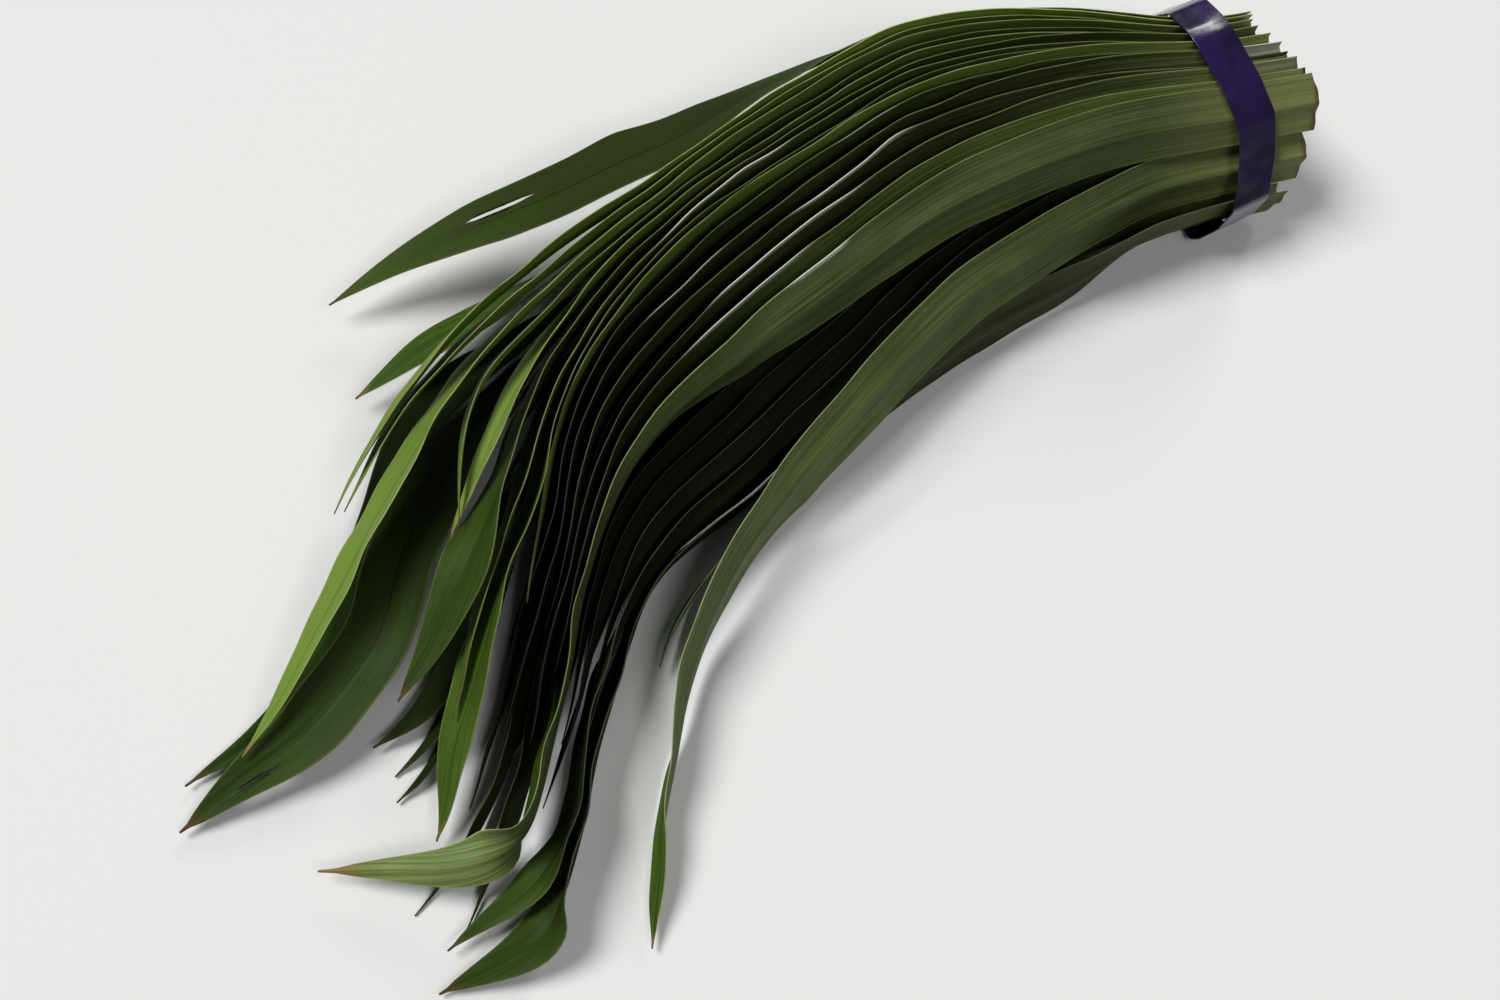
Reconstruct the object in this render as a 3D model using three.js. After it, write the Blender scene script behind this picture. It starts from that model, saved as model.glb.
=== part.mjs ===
// A bunch of fresh pandan leaves: long keeled blades, cut straight at the base, stacked on edge like
// the pages of a book, and tied near the cut ends with one flat plastic band. It lies on a table.
// Millimetres, +Z up. The blades run from the cut ends, at +X, in an arc towards -X and -Y, and the
// origin is on the table under the middle of the bunch.
import * as THREE from "three";

// Driving dimensions
const BLADE_WIDTH = 32;
const BLADE_THICKNESS = 0.75;
const BASE_WIDTH_SHARE = 0.86; // a blade is a little narrower where it was cut
const TIP_WIDTH = 1.6;
const BUNCH_WIDTH = 102; // across rung 1, where the band is
const BEND_WIDTH = 138; // across rungs 3 to 6
const BAND_WIDTH = 20;
const BAND_SKEW = 13; // degrees off square with the leaves
const BAND_THICKNESS = 0.7;
const BAND_CLEARANCE = 0.45;
const BAND_LAP_THICKNESS = 0.5;

// The bunch spreads over numbered rungs that cross it. Rung 0 is at the cut ends and rung 1 under the
// middle of the band. Each rung runs from the outer side of the bend to the inner side.
const RUNG_OUTER = [
  [253, 231], [212, 224], [147, 221], [75, 201], [10, 168], [-44, 128],
  [-91, 86], [-129, 44], [-156, -1], [-174, -45], [-193, -83], [-224, -120],
];
const RUNG_INNER = [
  [258, 131], [228, 123], [163, 99], [106, 67], [57, 35], [9, -1],
  [-29, -34], [-48, -62], [-62, -98], [-73, -134], [-86, -164], [-111, -192],
];

// The three parts of the stack. Under the band each leaf has a seat in the round section: how far it
// stands from the middle towards the inner side, its height, and its lean. A leaf of the fan and of the
// shoulder hangs from its upper edge, and a leaf of the floor stands on its lower edge.
const FAN = {
  label: "fan",
  count: 20,
  edge: 1,
  seat: [[0, -38, 62, 12], [0.33, -28.5, 69, -18], [0.6, -21.5, 70.8, -34], [0.8, -14.5, 71.2, -44],
    [1, -3.5, 70.8, -55]],
};
const SHOULDER = {
  label: "shoulder",
  count: 5,
  edge: 1,
  seat: [[0, 3, 40, -28], [1, 16.7, 52.2, -45]],
};
const FLOOR = {
  label: "floor",
  count: 18,
  edge: -1,
  seat: [[0, -35.5, 6, -15], [0.12, -31, 4, -10], [0.25, -23, 1.9, -5], [0.5, -4, 1.6, 0], [0.6, 8, 1.6, -8],
    [0.72, 25.6, 1.7, -38], [0.82, 36.3, 5, -42], [0.9, 40, 5, -32], [0.95, 41.6, 4.2, -12],
    [1, 43.4, 11, -6]],
};

const DEGREE = Math.PI / 180;
const UP = new THREE.Vector3(0, 0, 1);
const STATIONS = 21;
const BAND_FACETS = 72;

// Colours: the upper faces are a deep waxy green, and the undersides that show are paler and greyer.
const BLADE_GREENS = [0x3c5a22, 0x47662a, 0x33501e];
const UNDERSIDE_GREEN = 0x6c7a47;
const SHOWN_UNDERSIDES = ["fan_20", "shoulder_05", "floor_18"];

const mix = (a, b, k) => a + (b - a) * k;

function smoothStep(low, high, value) {
  const k = Math.min(1, Math.max(0, (value - low) / (high - low)));
  return k * k * (3 - 2 * k);
}

// A repeatable draw from 0 to 1 for one leaf and one purpose.
function draw(leaf, purpose) {
  const wave = Math.sin(leaf * 12.9898 + purpose * 78.233) * 43758.5453;
  return wave - Math.floor(wave);
}

// A smooth curve through [place, value] keys, straight on past the first and the last.
function follow(keys, place) {
  const last = keys.length - 1;
  let k = 0;
  while (k < last - 1 && place > keys[k + 1][0]) k += 1;
  const slope = (i) => {
    const a = keys[Math.max(0, i - 1)];
    const b = keys[Math.min(last, i + 1)];
    return (b[1] - a[1]) / (b[0] - a[0]);
  };
  const [x0, y0] = keys[k];
  const [x1, y1] = keys[k + 1];
  if (place <= x0) return y0 + slope(k) * (place - x0);
  if (place >= x1) return y1 + slope(k + 1) * (place - x1);
  const span = x1 - x0;
  const u = (place - x0) / span;
  return (
    y0 * (1 + 2 * u) * (1 - u) ** 2 +
    slope(k) * span * u * (1 - u) ** 2 +
    y1 * u * u * (3 - 2 * u) +
    slope(k + 1) * span * u * u * (u - 1)
  );
}

// One column of a list of rows, as [place, value] keys.
const columnOf = (rows, column) => rows.map((row) => [row[0], row[column]]);

const numbered = (points, axis) => points.map((point, rung) => [rung, point[axis]]);
const OUTER_X = numbered(RUNG_OUTER, 0);
const OUTER_Y = numbered(RUNG_OUTER, 1);
const INNER_X = numbered(RUNG_INNER, 0);
const INNER_Y = numbered(RUNG_INNER, 1);

// The point of the table under a place in the bunch, from 0 on the outer side to 1 on the inner side.
function tablePoint(rung, place) {
  return [
    mix(follow(OUTER_X, rung), follow(INNER_X, rung), place),
    mix(follow(OUTER_Y, rung), follow(INNER_Y, rung), place),
  ];
}

// The leaves that can be told apart in the bunch. Each has the rung of its tip, the share of its length
// where it starts to taper, and its course past the band: rows of rung, place, rise and lean.
const LISTED = {
  fan_01: { reach: 7.14, taper: 0.66, rows: [[3, 0.012, 67, 8], [4, 0.005, 64, 22], [5, -0.015, 56, 55],
    [6, -0.25, 33, 74], [7, -0.42, 14, 64]] },
  fan_02: { reach: 8.27, taper: 0.6, rows: [[5, 0.02, 68, 4], [6, -0.04, 50, 6], [7, -0.085, 41, 8],
    [8, -0.09, 26, 12]] },
  fan_03: { reach: 8.2, taper: 0.6, rows: [[5, 0.045, 68, 4], [6, 0, 51, 8], [7, -0.045, 42, 12],
    [8, -0.062, 27, 18]] },
  fan_04: { reach: 10.45, taper: 0.66, wide: 0.8, rows: [[5, 0.07, 68, 4], [6, 0.05, 51, 10],
    [7, 0.04, 46, 14], [8, 0.018, 40, 21], [9, -0.01, 30.5, 32], [10, -0.005, 17, 50]] },
  fan_05: { reach: 7.67, taper: 0.6, rows: [[5, 0.095, 68, 2], [6, 0.09, 51, 4], [7, 0.12, 47, 4],
    [8, 0.36, 38, 0]] },
  fan_06: { reach: 7.75, taper: 0.7, wide: 0.9, rows: [[5, 0.12, 68, 0], [6, 0.15, 51, 8],
    [7, 0.215, 45, 22], [7.5, 0.248, 37.5, 27], [8, 0.3, 30, 32]] },
  fan_07: { reach: 9.23, taper: 0.72, wide: 0.9, stations: 30, rows: [[5, 0.145, 68, 2], [6, 0.19, 50.5, 2],
    [7, 0.305, 47, 6], [7.5, 0.336, 45.5, 24], [8, 0.34, 42, 60], [9, 0.31, 30, 72]] },
  fan_08: { reach: 9.02, taper: 0.62, rows: [[5, 0.17, 68, 0], [6, 0.24, 50.5, 2], [7, 0.385, 46, 4],
    [8, 0.43, 38, 6], [9, 0.465, 28, 14]] },
  fan_09: { reach: 10.1, taper: 0.72, rows: [[5, 0.195, 68, 0], [6, 0.27, 50.5, 2], [7, 0.43, 46, 4],
    [8, 0.47, 41, 10], [9, 0.52, 26, 42], [10, 0.6, 9, 60]] },
  fan_10: { reach: 7.71, taper: 0.6, rows: [[5, 0.22, 68, 0], [6, 0.3, 50.5, 0], [7, 0.475, 49, 0],
    [8, 0.6, 47, 4]] },
  fan_20: { reach: 10.9, taper: 0.84, wide: 0.94, stations: 42, rows: [[3, 0.475, 70, -52],
    [4, 0.51, 69, -44], [5, 0.53, 67, -30], [6, 0.615, 46, -14], [7, 0.715, 38, -8],
    [8, 0.785, 30, -4], [9, 0.805, 27, -6], [9.5, 0.8, 26, -14], [9.8, 0.775, 25, -48],
    [10.1, 0.715, 22, -80], [10.4, 0.61, 18, -86], [10.9, 0.38, 9, -84]] },
  shoulder_04: { reach: 10.94, taper: 0.8, rows: [[5, 0.86, 38, -34], [6, 0.9, 28, -24], [7, 0.905, 28, -8],
    [8, 0.925, 22, 4], [9, 0.955, 17, 6], [9.5, 0.94, 14, 30], [10, 0.91, 10, 64], [11, 0.85, 6, 76]] },
  shoulder_05: { reach: 9.61, taper: 0.6, rows: [[2, 0.705, 53, -46], [3, 0.755, 53, -50],
    [4, 0.838, 52, -50], [5, 0.94, 46, -42], [6, 1.16, 24, -28], [7, 1.23, 18, -22], [8, 1.26, 13, -4],
    [9, 1.31, 8, 30], [9.6, 1.35, 4, 40]] },
  floor_01: { reach: 7.44, taper: 0.7, rows: [[5, 0.01, 1.5, 4], [6, -0.02, 18, 24], [7, -0.15, 16, 68],
    [7.5, -0.22, 9, 75]] },
  floor_03: { reach: 10.88, taper: 0.8, wide: 0.66, rows: [[6, 0.076, 10, 26], [7, 0.018, 5.2, 70],
    [8, 0.06, 6.5, 78], [9, 0.08, 5.5, 80], [10, 0.02, 4.5, 80], [11, -0.08, 4, 82]] },
  floor_04: { reach: 11.21, taper: 0.86, rows: [[6, 0.16, 17, 10], [7, 0.165, 24, 42], [8, 0.15, 22, 70],
    [9, 0.165, 16, 76], [10, 0.1, 11, 78], [11, 0.015, 6, 80]] },
  floor_08: { reach: 9.71, taper: 0.7, rows: [[6, 0.342, 14.2, -1], [7, 0.38, 13.5, 3], [8, 0.43, 12, 40],
    [9, 0.4, 8, 64], [10, 0.26, 4, 70]] },
  floor_09: { reach: 9.8, taper: 0.7, rows: [[7, 0.445, 1.2, 0], [8, 0.47, 1.2, 8],
    [9, 0.46, 1.4, 20], [10, 0.4, 1.6, 40]] },
  floor_10: { reach: 10, taper: 0.7, rows: [[8, 0.51, 1.2, 4], [9, 0.505, 1.4, 14], [10, 0.44, 1.6, 40]] },
  floor_13: { reach: 10.8, taper: 0.74, rows: [[8, 0.752, 1.2, -29], [9, 0.73, 1.4, -20],
    [10, 0.7, 1.6, -24], [11, 0.71, 2, -26]] },
  floor_14: { reach: 10.66, taper: 0.74, rows: [[8, 0.827, 1.2, -35], [9, 0.82, 1.4, -35],
    [10, 0.81, 1.6, -34], [11, 0.86, 2, -20]] },
  floor_17: { reach: 11.37, taper: 0.84, rows: [[3, 0.955, 1.5, -24], [4, 0.97, 1.5, -16],
    [5, 0.975, 1.5, -4], [6, 0.96, 15.5, 0], [7, 0.97, 15.5, 0], [8, 0.985, 15, 0], [9, 0.99, 15, 2],
    [9.8, 1.01, 13.5, 10], [10.2, 1.03, 11, 46], [10.6, 1.01, 9, 72], [11.4, 0.91, 4, 76]] },
  floor_18: { reach: 6.8, taper: 0.6, rows: [[2, 1.015, 4, -24], [2.5, 1.025, 2.5, -30],
    [3, 1.018, 1.5, -30], [4, 1.02, 1.5, -18], [5, 1.04, 1.5, -8], [6, 1.075, 13, -4], [7, 1.11, 10, 0]] },
};
const SHORT_LEAVES = { fan_12: 6.2, fan_14: 6.9, fan_16: 7.3, fan_18: 7, floor_02: 5.6, floor_05: 6.5,
  floor_06: 6.8, floor_07: 7, floor_16: 7.6 };

// Where a leaf was cut, in rungs, by how far its seat is from the middle of the bunch.
const CUT_ENDS = [[-38, 0.58], [-28, 0.54], [-21, 0.3], [-10, 0.06], [0, -0.16], [6, -0.22], [14, -0.16],
  [40, -0.1]];

// Where a plain leaf's course goes, from its share of the way through its part of the stack.
const FAN_LEAN = [[0, 0], [0.6, 0.08], [0.8, 0.3], [0.9, 0.55], [1, 1]];
const FLOOR_LEAN = [[0, 0], [0.35, 0], [0.647, -15], [0.706, -32], [0.765, -48], [0.824, -56], [0.882, -58]];
const FLOOR_PLACE = [[0, 0.02], [0.647, 0.52], [0.706, 0.61], [0.882, 0.86], [0.941, 0.955], [1, 1]];

// Every second leaf of the fan's inner half is slimmer and lies deeper, so that dark gaps open beside it.
const isSunk = (index) => index > 10 && index < 19 && index % 2 === 1;

function plainCourse(part, share, number) {
  const wander = (purpose, size) => size * (draw(number, purpose) - 0.5);
  if (part === FAN) {
    const lean = follow(FAN_LEAN, share);
    const late = (share - 0.474) / 0.526;
    const sunkBy = (depth, rung, place, top, turn) => {
      const deep = isSunk(number) ? depth : 0;
      return [
        rung,
        place - (deep * Math.sin(turn * DEGREE)) / BEND_WIDTH,
        top - deep * Math.cos(turn * DEGREE),
        turn,
      ];
    };
    return [
      sunkBy(9, 3, 0.445 * share, 70, -52 * lean),
      sunkBy(13, 4, 0.487 * share, 68, -44 * lean),
      sunkBy(12, 5, 0.508 * share, 68, -30 * lean),
      sunkBy(5, 6, mix(0.3, 0.59, late), 50.5, -16 * lean),
      [7, mix(0.5, 0.7, late), 46 + wander(7, 2), -10 * lean + wander(8, 5)],
      [8, mix(0.56, 0.765, late), 37 + wander(7, 4), -4 * lean + wander(8, 12)],
      [9, mix(0.6, 0.79, late), 26 + wander(7, 5), wander(8, 30)],
      [10, mix(0.64, 0.8, late), 15, wander(8, 70)],
    ];
  }
  if (part === SHOULDER) {
    return [
      [3, mix(0.57, 0.76, share), 41, -30],
      [4, mix(0.61, 0.86, share), 38, -36],
      [5, mix(0.635, 0.92, share), 38, -38],
      [6, mix(0.72, 0.96, share), 28, -36],
      [7, mix(0.78, 0.96, share), 26, -24],
      [8, mix(0.84, 0.95, share), 22, -10 + wander(8, 10)],
      [9, mix(0.84, 0.96, share), 18, wander(8, 20)],
      [10, mix(0.84, 0.93, share), 13, wander(8, 50)],
    ];
  }
  const inner = follow(FLOOR_PLACE, share);
  const laid = follow(FLOOR_LEAN, Math.min(share, 0.88));
  const loose = share < 0.5 ? 1 : 0.2;
  return [
    [3, inner, 1.5, 0.85 * laid - 6 * (1 - smoothStep(0, 0.4, share))],
    [4, inner, 1.2, laid],
    [5, inner, 1.2, laid],
    [6, inner, 1.2, laid + wander(8, 6) * loose],
    [8, mix(0.14, 0.99, share), 1.2, laid + wander(8, 20) * loose],
    [9, mix(0.18, 0.98, share), 1.4, 0.9 * laid + wander(8, 50) * loose],
    [10, mix(0.2, 0.97, share), 1.6, 0.8 * laid + wander(8, 60) * loose],
    [11, mix(0.22, 0.94, share), 2, 0.7 * laid + wander(8, 60) * loose],
  ];
}

// Everything that shapes one leaf of a part of the stack.
function leafOf(part, index) {
  const share = index / (part.count - 1);
  const name = `${part.label}_${String(index + 1).padStart(2, "0")}`;
  const number = index + 40 * ["fan", "shoulder", "floor"].indexOf(part.label);
  const listed = LISTED[name];
  const [side, top, lean] = [1, 2, 3].map((column) => follow(columnOf(part.seat, column), share));
  const sunk = part === FAN && isSunk(index);
  const tucked = sunk || (part === FAN && index > 1 && index < 16 && index % 3) ? 4 : 0;
  const seat = [
    0.5 + (side - tucked * Math.sin(lean * DEGREE)) / BUNCH_WIDTH,
    top - tucked * Math.cos(lean * DEGREE),
    lean,
  ];
  const plain = plainCourse(part, share, number);
  const course = listed ? [...plain.filter((row) => row[0] < listed.rows[0][0]), ...listed.rows] : plain;
  const rows = [[-0.5, ...seat], [0.5, ...seat], [1.5, ...seat], ...course];
  const tracks = [1, 2, 3].map((column) => columnOf(rows, column));
  const sway = draw(number, 1) * 6.28;
  const broad = part === FAN || name === "shoulder_05";
  const laid = part === FLOOR && index > 11 && index < 16;
  const slim = part === SHOULDER || laid ? 0.72 : 0.88;
  const plainWidth = sunk ? 0.76 : broad ? 1 : slim;
  const fanFold = follow([[0, 9], [0.1, 5], [0.75, 5], [1, 14]], share);
  const seatFold = part === FAN ? fanFold : broad ? 14 : 8;
  const settles = part === FLOOR && (!listed || laid || index === 8 || index === 9) ? 20 : 5;
  return {
    name,
    number,
    start: follow(CUT_ENDS, side) + 0.1 * (draw(number, 2) - 0.5),
    reach: listed ? listed.reach : SHORT_LEAVES[name] || mix(7.6, 9.8, draw(number, 3)),
    taper: listed ? listed.taper : 0.62,
    stations: listed?.stations || STATIONS,
    width: BLADE_WIDTH * (listed?.wide || plainWidth) * mix(0.95, 1.06, draw(number, 4)),
    place: (rung) => follow(tracks[0], rung) + 0.003 * smoothStep(2, 5, rung) * Math.sin(sway + 2.1 * rung),
    rise: (rung) => follow(tracks[1], rung),
    lean: (rung) => follow(tracks[2], rung),
    edge: (rung) => part.edge * (1 - smoothStep(settles, settles + 1, rung)),
    fold: (rung) => follow([[0, seatFold], [1.5, seatFold], [3.5, 8], [6, 9], [9, 15]], rung),
  };
}

// A blade's width at a share of its length, from 0 at the cut end to 1 at the tip.
function widthAt(leaf, along) {
  const grown = mix(BASE_WIDTH_SHARE, 1, smoothStep(0, 0.3, along));
  const tapered = Math.max(0, (along - leaf.taper) / (1 - leaf.taper));
  return Math.max(TIP_WIDTH, leaf.width * grown * (1 - tapered ** 1.7));
}

// The section of a blade at one rung: its middle, and the directions across it and out of its keel side.
function sectionAt(leaf, rung, half) {
  const track = (at) => new THREE.Vector3(...tablePoint(at, leaf.place(at)), leaf.rise(at));
  const onward = track(rung + 0.05).sub(track(rung - 0.05)).normalize();
  const inward = new THREE.Vector3(-onward.y, onward.x, 0).normalize();
  const up = new THREE.Vector3().crossVectors(onward, inward);
  const lean = leaf.lean(rung) * DEGREE;
  const across = up.clone().multiplyScalar(Math.cos(lean)).addScaledVector(inward, Math.sin(lean));
  const face = inward.clone().multiplyScalar(Math.cos(lean)).addScaledVector(up, -Math.sin(lean));
  const middle = track(rung).addScaledVector(across, -leaf.edge(rung) * half);
  return { middle, across, face };
}

// The six corners of a folded section: lower edge, keel and upper edge, on the inner and the outer face.
function sectionCorners(leaf, along) {
  const rung = mix(leaf.start, leaf.reach, along);
  const half = widthAt(leaf, along) / 2;
  const { middle, across, face } = sectionAt(leaf, rung, half);
  const fold = leaf.fold(rung) * DEGREE;
  const corner = (side, skin) =>
    middle
      .clone()
      .addScaledVector(across, side * half * Math.cos(fold))
      .addScaledVector(face, half * Math.sin(fold) * (0.5 - Math.abs(side)) + (skin * BLADE_THICKNESS) / 2);
  return [corner(-1, 1), corner(0, 1), corner(1, 1), corner(1, -1), corner(0, -1), corner(-1, -1)];
}

// The faces of a tube through rings of corners. A closed loop joins its last ring to its first. The two
// halves of a ring are cut along opposite diagonals, so that both faces of a twisted blade run side by side.
function tubeFaces(ringCount, size, closed) {
  const faces = [];
  for (let i = 0; i < (closed ? ringCount : ringCount - 1); i += 1) {
    const a = i * size;
    const b = ((i + 1) % ringCount) * size;
    for (let j = 0; j < size; j += 1) {
      const k = (j + 1) % size;
      if (j < size / 2) faces.push(a + j, a + k, b + j, a + k, b + k, b + j);
      else faces.push(a + j, a + k, b + k, a + j, b + k, b + j);
    }
  }
  return faces;
}

function meshGeometry(corners, faces) {
  const geometry = new THREE.BufferGeometry();
  geometry.setAttribute(
    "position",
    new THREE.Float32BufferAttribute(corners.flatMap((corner) => corner.toArray()), 3),
  );
  geometry.setIndex(faces);
  return geometry;
}

function bladeGeometry(leaf) {
  const rings = [];
  for (let i = 0; i <= leaf.stations; i += 1) rings.push(sectionCorners(leaf, i / leaf.stations));
  const faces = tubeFaces(rings.length, 6, false);
  const end = (rings.length - 1) * 6;
  for (const [a, b, c] of [[0, 5, 1], [5, 4, 1], [1, 4, 2], [4, 3, 2]]) {
    faces.push(a, b, c, end + a, end + c, end + b);
  }
  return meshGeometry(rings.flat(), faces);
}

// The corners of the convex outline of flat points, in order.
function convexOutline(points) {
  const sorted = [...points].sort((a, b) => a[0] - b[0] || a[1] - b[1]);
  const half = (list) => {
    const kept = [];
    for (const point of list) {
      while (kept.length > 1) {
        const [a, b] = kept.slice(-2);
        if ((b[0] - a[0]) * (point[1] - a[1]) - (b[1] - a[1]) * (point[0] - a[0]) > 0) break;
        kept.pop();
      }
      kept.push(point);
    }
    return kept.slice(0, -1);
  };
  return [...half(sorted), ...half(sorted.reverse())];
}

// The band is drawn tight: it follows the outline of all the leaves under it, and lies flat on the table.
function bandGeometry(leaves) {
  const middle = new THREE.Vector3(...tablePoint(1, 0.5), 0);
  const towardsCut = new THREE.Vector3(...tablePoint(0.9, 0.5), 0);
  towardsCut.sub(new THREE.Vector3(...tablePoint(1.1, 0.5), 0)).normalize();
  const axis = towardsCut.applyAxisAngle(UP, BAND_SKEW * DEGREE);
  const side = new THREE.Vector3(axis.y, -axis.x, 0);
  const held = [];
  for (const leaf of leaves) {
    for (let rung = 0.2; rung < 1.5; rung += 0.02) {
      for (const corner of sectionCorners(leaf, (rung - leaf.start) / (leaf.reach - leaf.start))) {
        const from = corner.clone().sub(middle);
        if (Math.abs(from.dot(axis)) < BAND_WIDTH / 2 + 1) held.push([from.dot(side), corner.z]);
      }
    }
  }
  const outline = convexOutline(held);
  const rings = [];
  for (let turn = 0; turn < 360; turn += 360 / BAND_FACETS) {
    const out = [Math.cos(turn * DEGREE), Math.sin(turn * DEGREE)];
    const reachOf = (point) => point[0] * out[0] + point[1] * out[1];
    const tightest = outline.reduce((best, point) => (reachOf(point) > reachOf(best) ? point : best));
    const lap = BAND_LAP_THICKNESS * smoothStep(148, 154, turn) * (1 - smoothStep(206, 212, turn));
    const ring = [0, BAND_THICKNESS + lap].map((lift) => {
      const away = BAND_CLEARANCE + lift;
      const height = tightest[1] + away * out[1];
      return middle
        .clone()
        .addScaledVector(side, tightest[0] + away * out[0])
        .setZ(lift && height < 1 ? 0 : height);
    });
    const [inner, outer] = ring;
    const shifted = (point, way) => point.clone().addScaledVector(axis, (way * BAND_WIDTH) / 2);
    rings.push([shifted(inner, -1), shifted(outer, -1), shifted(outer, 1), shifted(inner, 1)]);
  }
  return meshGeometry(rings.flat(), tubeFaces(rings.length, 4, true));
}

const leaves = [FAN, SHOULDER, FLOOR].flatMap((part) =>
  Array.from({ length: part.count }, (_, index) => leafOf(part, index)),
);

const bunch = new THREE.Group();
for (const leaf of leaves) {
  const shown = SHOWN_UNDERSIDES.includes(leaf.name);
  const green = shown ? UNDERSIDE_GREEN : BLADE_GREENS[leaf.number % BLADE_GREENS.length];
  const roughness = shown ? 0.58 : 0.46;
  const waxy = new THREE.MeshStandardMaterial({ color: green, roughness, metalness: 0 });
  const mesh = new THREE.Mesh(bladeGeometry(leaf), waxy);
  mesh.name = leaf.name;
  bunch.add(mesh);
}

const violetFilm = new THREE.MeshStandardMaterial({ color: 0x2a1a4c, roughness: 0.28, metalness: 0 });
const band = new THREE.Mesh(bandGeometry(leaves), violetFilm);
band.name = "band";
bunch.add(band);

// The origin goes under the middle of the bunch, on the table.
const extent = new THREE.Box3().setFromObject(bunch);
const centre = extent.getCenter(new THREE.Vector3());
for (const mesh of bunch.children) mesh.geometry.translate(-centre.x, -centre.y, -extent.min.z);

export default bunch;
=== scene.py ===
# %% [markdown]
# # A bunch of pandan leaves
# Pandan is a kitchen herb. Its leaves are long straps with a keel down the middle, and a market bunch is some
# forty of them stacked on edge like the pages of a book, cut straight at the base and held by one plastic band.
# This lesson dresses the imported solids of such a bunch. The solids give every leaf its place and its bends. Here
# each leaf gets its finer form: a rounded keel, arched halves, wavy margins, a torn cut end and a thin dry tip.
# Lengths are worked out in millimetres, as in the part's own source, and turned to metres when a mesh is made.

# %% Load the frame
import math

import bmesh
import bpy
import numpy as np
from mathutils import Matrix, Vector


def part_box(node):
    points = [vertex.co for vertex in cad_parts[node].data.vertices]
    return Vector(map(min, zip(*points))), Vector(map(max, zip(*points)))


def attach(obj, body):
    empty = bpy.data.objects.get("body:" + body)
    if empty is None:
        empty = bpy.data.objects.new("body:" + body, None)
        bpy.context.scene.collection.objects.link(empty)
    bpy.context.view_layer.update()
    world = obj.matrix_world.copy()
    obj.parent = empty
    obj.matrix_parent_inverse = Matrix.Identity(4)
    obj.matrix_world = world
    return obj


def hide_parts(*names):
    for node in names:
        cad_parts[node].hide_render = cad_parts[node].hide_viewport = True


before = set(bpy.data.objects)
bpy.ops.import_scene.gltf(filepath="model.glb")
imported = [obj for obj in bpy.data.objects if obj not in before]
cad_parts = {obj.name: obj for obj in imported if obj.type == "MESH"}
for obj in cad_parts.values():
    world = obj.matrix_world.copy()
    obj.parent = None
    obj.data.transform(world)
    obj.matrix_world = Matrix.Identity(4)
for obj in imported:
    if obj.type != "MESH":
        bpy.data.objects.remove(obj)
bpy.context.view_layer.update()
MM = 0.001

# %% [markdown]
# ## Where the leaves run
# The bunch spreads over numbered rungs that cross it: rung 0 is at the cut ends, rung 1 under the middle of the
# band, and each rung goes from the outer side of the bend to the inner side. A leaf's course is given as a place
# on the rungs, a height and a lean. Curves drawn by hand in Blender could do the same, but a few smooth
# functions of the rung are easier to keep equal to the solids, so the part's own numbers are used again.

# %% The bunch's measures
BLADE_WIDTH = 32
BLADE_THICKNESS = 0.75
BASE_WIDTH_SHARE = 0.86
TIP_WIDTH = 1.6
BUNCH_WIDTH = 102
BEND_WIDTH = 138
BAND_WIDTH = 20
BAND_SKEW = 13
BAND_CLEARANCE = 0.45
BAND_THICKNESS = 0.7
BAND_LAP_THICKNESS = 0.5
FULL_TURN = 6.28  # radians, as the part's source has it
RUNG_OUTER = [
    [253, 231], [212, 224], [147, 221], [75, 201], [10, 168], [-44, 128],
    [-91, 86], [-129, 44], [-156, -1], [-174, -45], [-193, -83], [-224, -120],
]
RUNG_INNER = [
    [258, 131], [228, 123], [163, 99], [106, 67], [57, 35], [9, -1],
    [-29, -34], [-48, -62], [-62, -98], [-73, -134], [-86, -164], [-111, -192],
]
FAN = {
    "label": "fan", "count": 20, "edge": 1,
    "seat": [[0, -38, 62, 12], [0.33, -28.5, 69, -18], [0.6, -21.5, 70.8, -34], [0.8, -14.5, 71.2, -44],
             [1, -3.5, 70.8, -55]],
}
SHOULDER = {"label": "shoulder", "count": 5, "edge": 1, "seat": [[0, 3, 40, -28], [1, 16.7, 52.2, -45]]}
FLOOR = {
    "label": "floor", "count": 18, "edge": -1,
    "seat": [[0, -35.5, 6, -15], [0.12, -31, 4, -10], [0.25, -23, 1.9, -5], [0.5, -4, 1.6, 0],
             [0.6, 8, 1.6, -8], [0.72, 25.6, 1.7, -38], [0.82, 36.3, 5, -42], [0.9, 40, 5, -32],
             [0.95, 41.6, 4.2, -12], [1, 43.4, 11, -6]],
}
PARTS = [FAN, SHOULDER, FLOOR]

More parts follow.
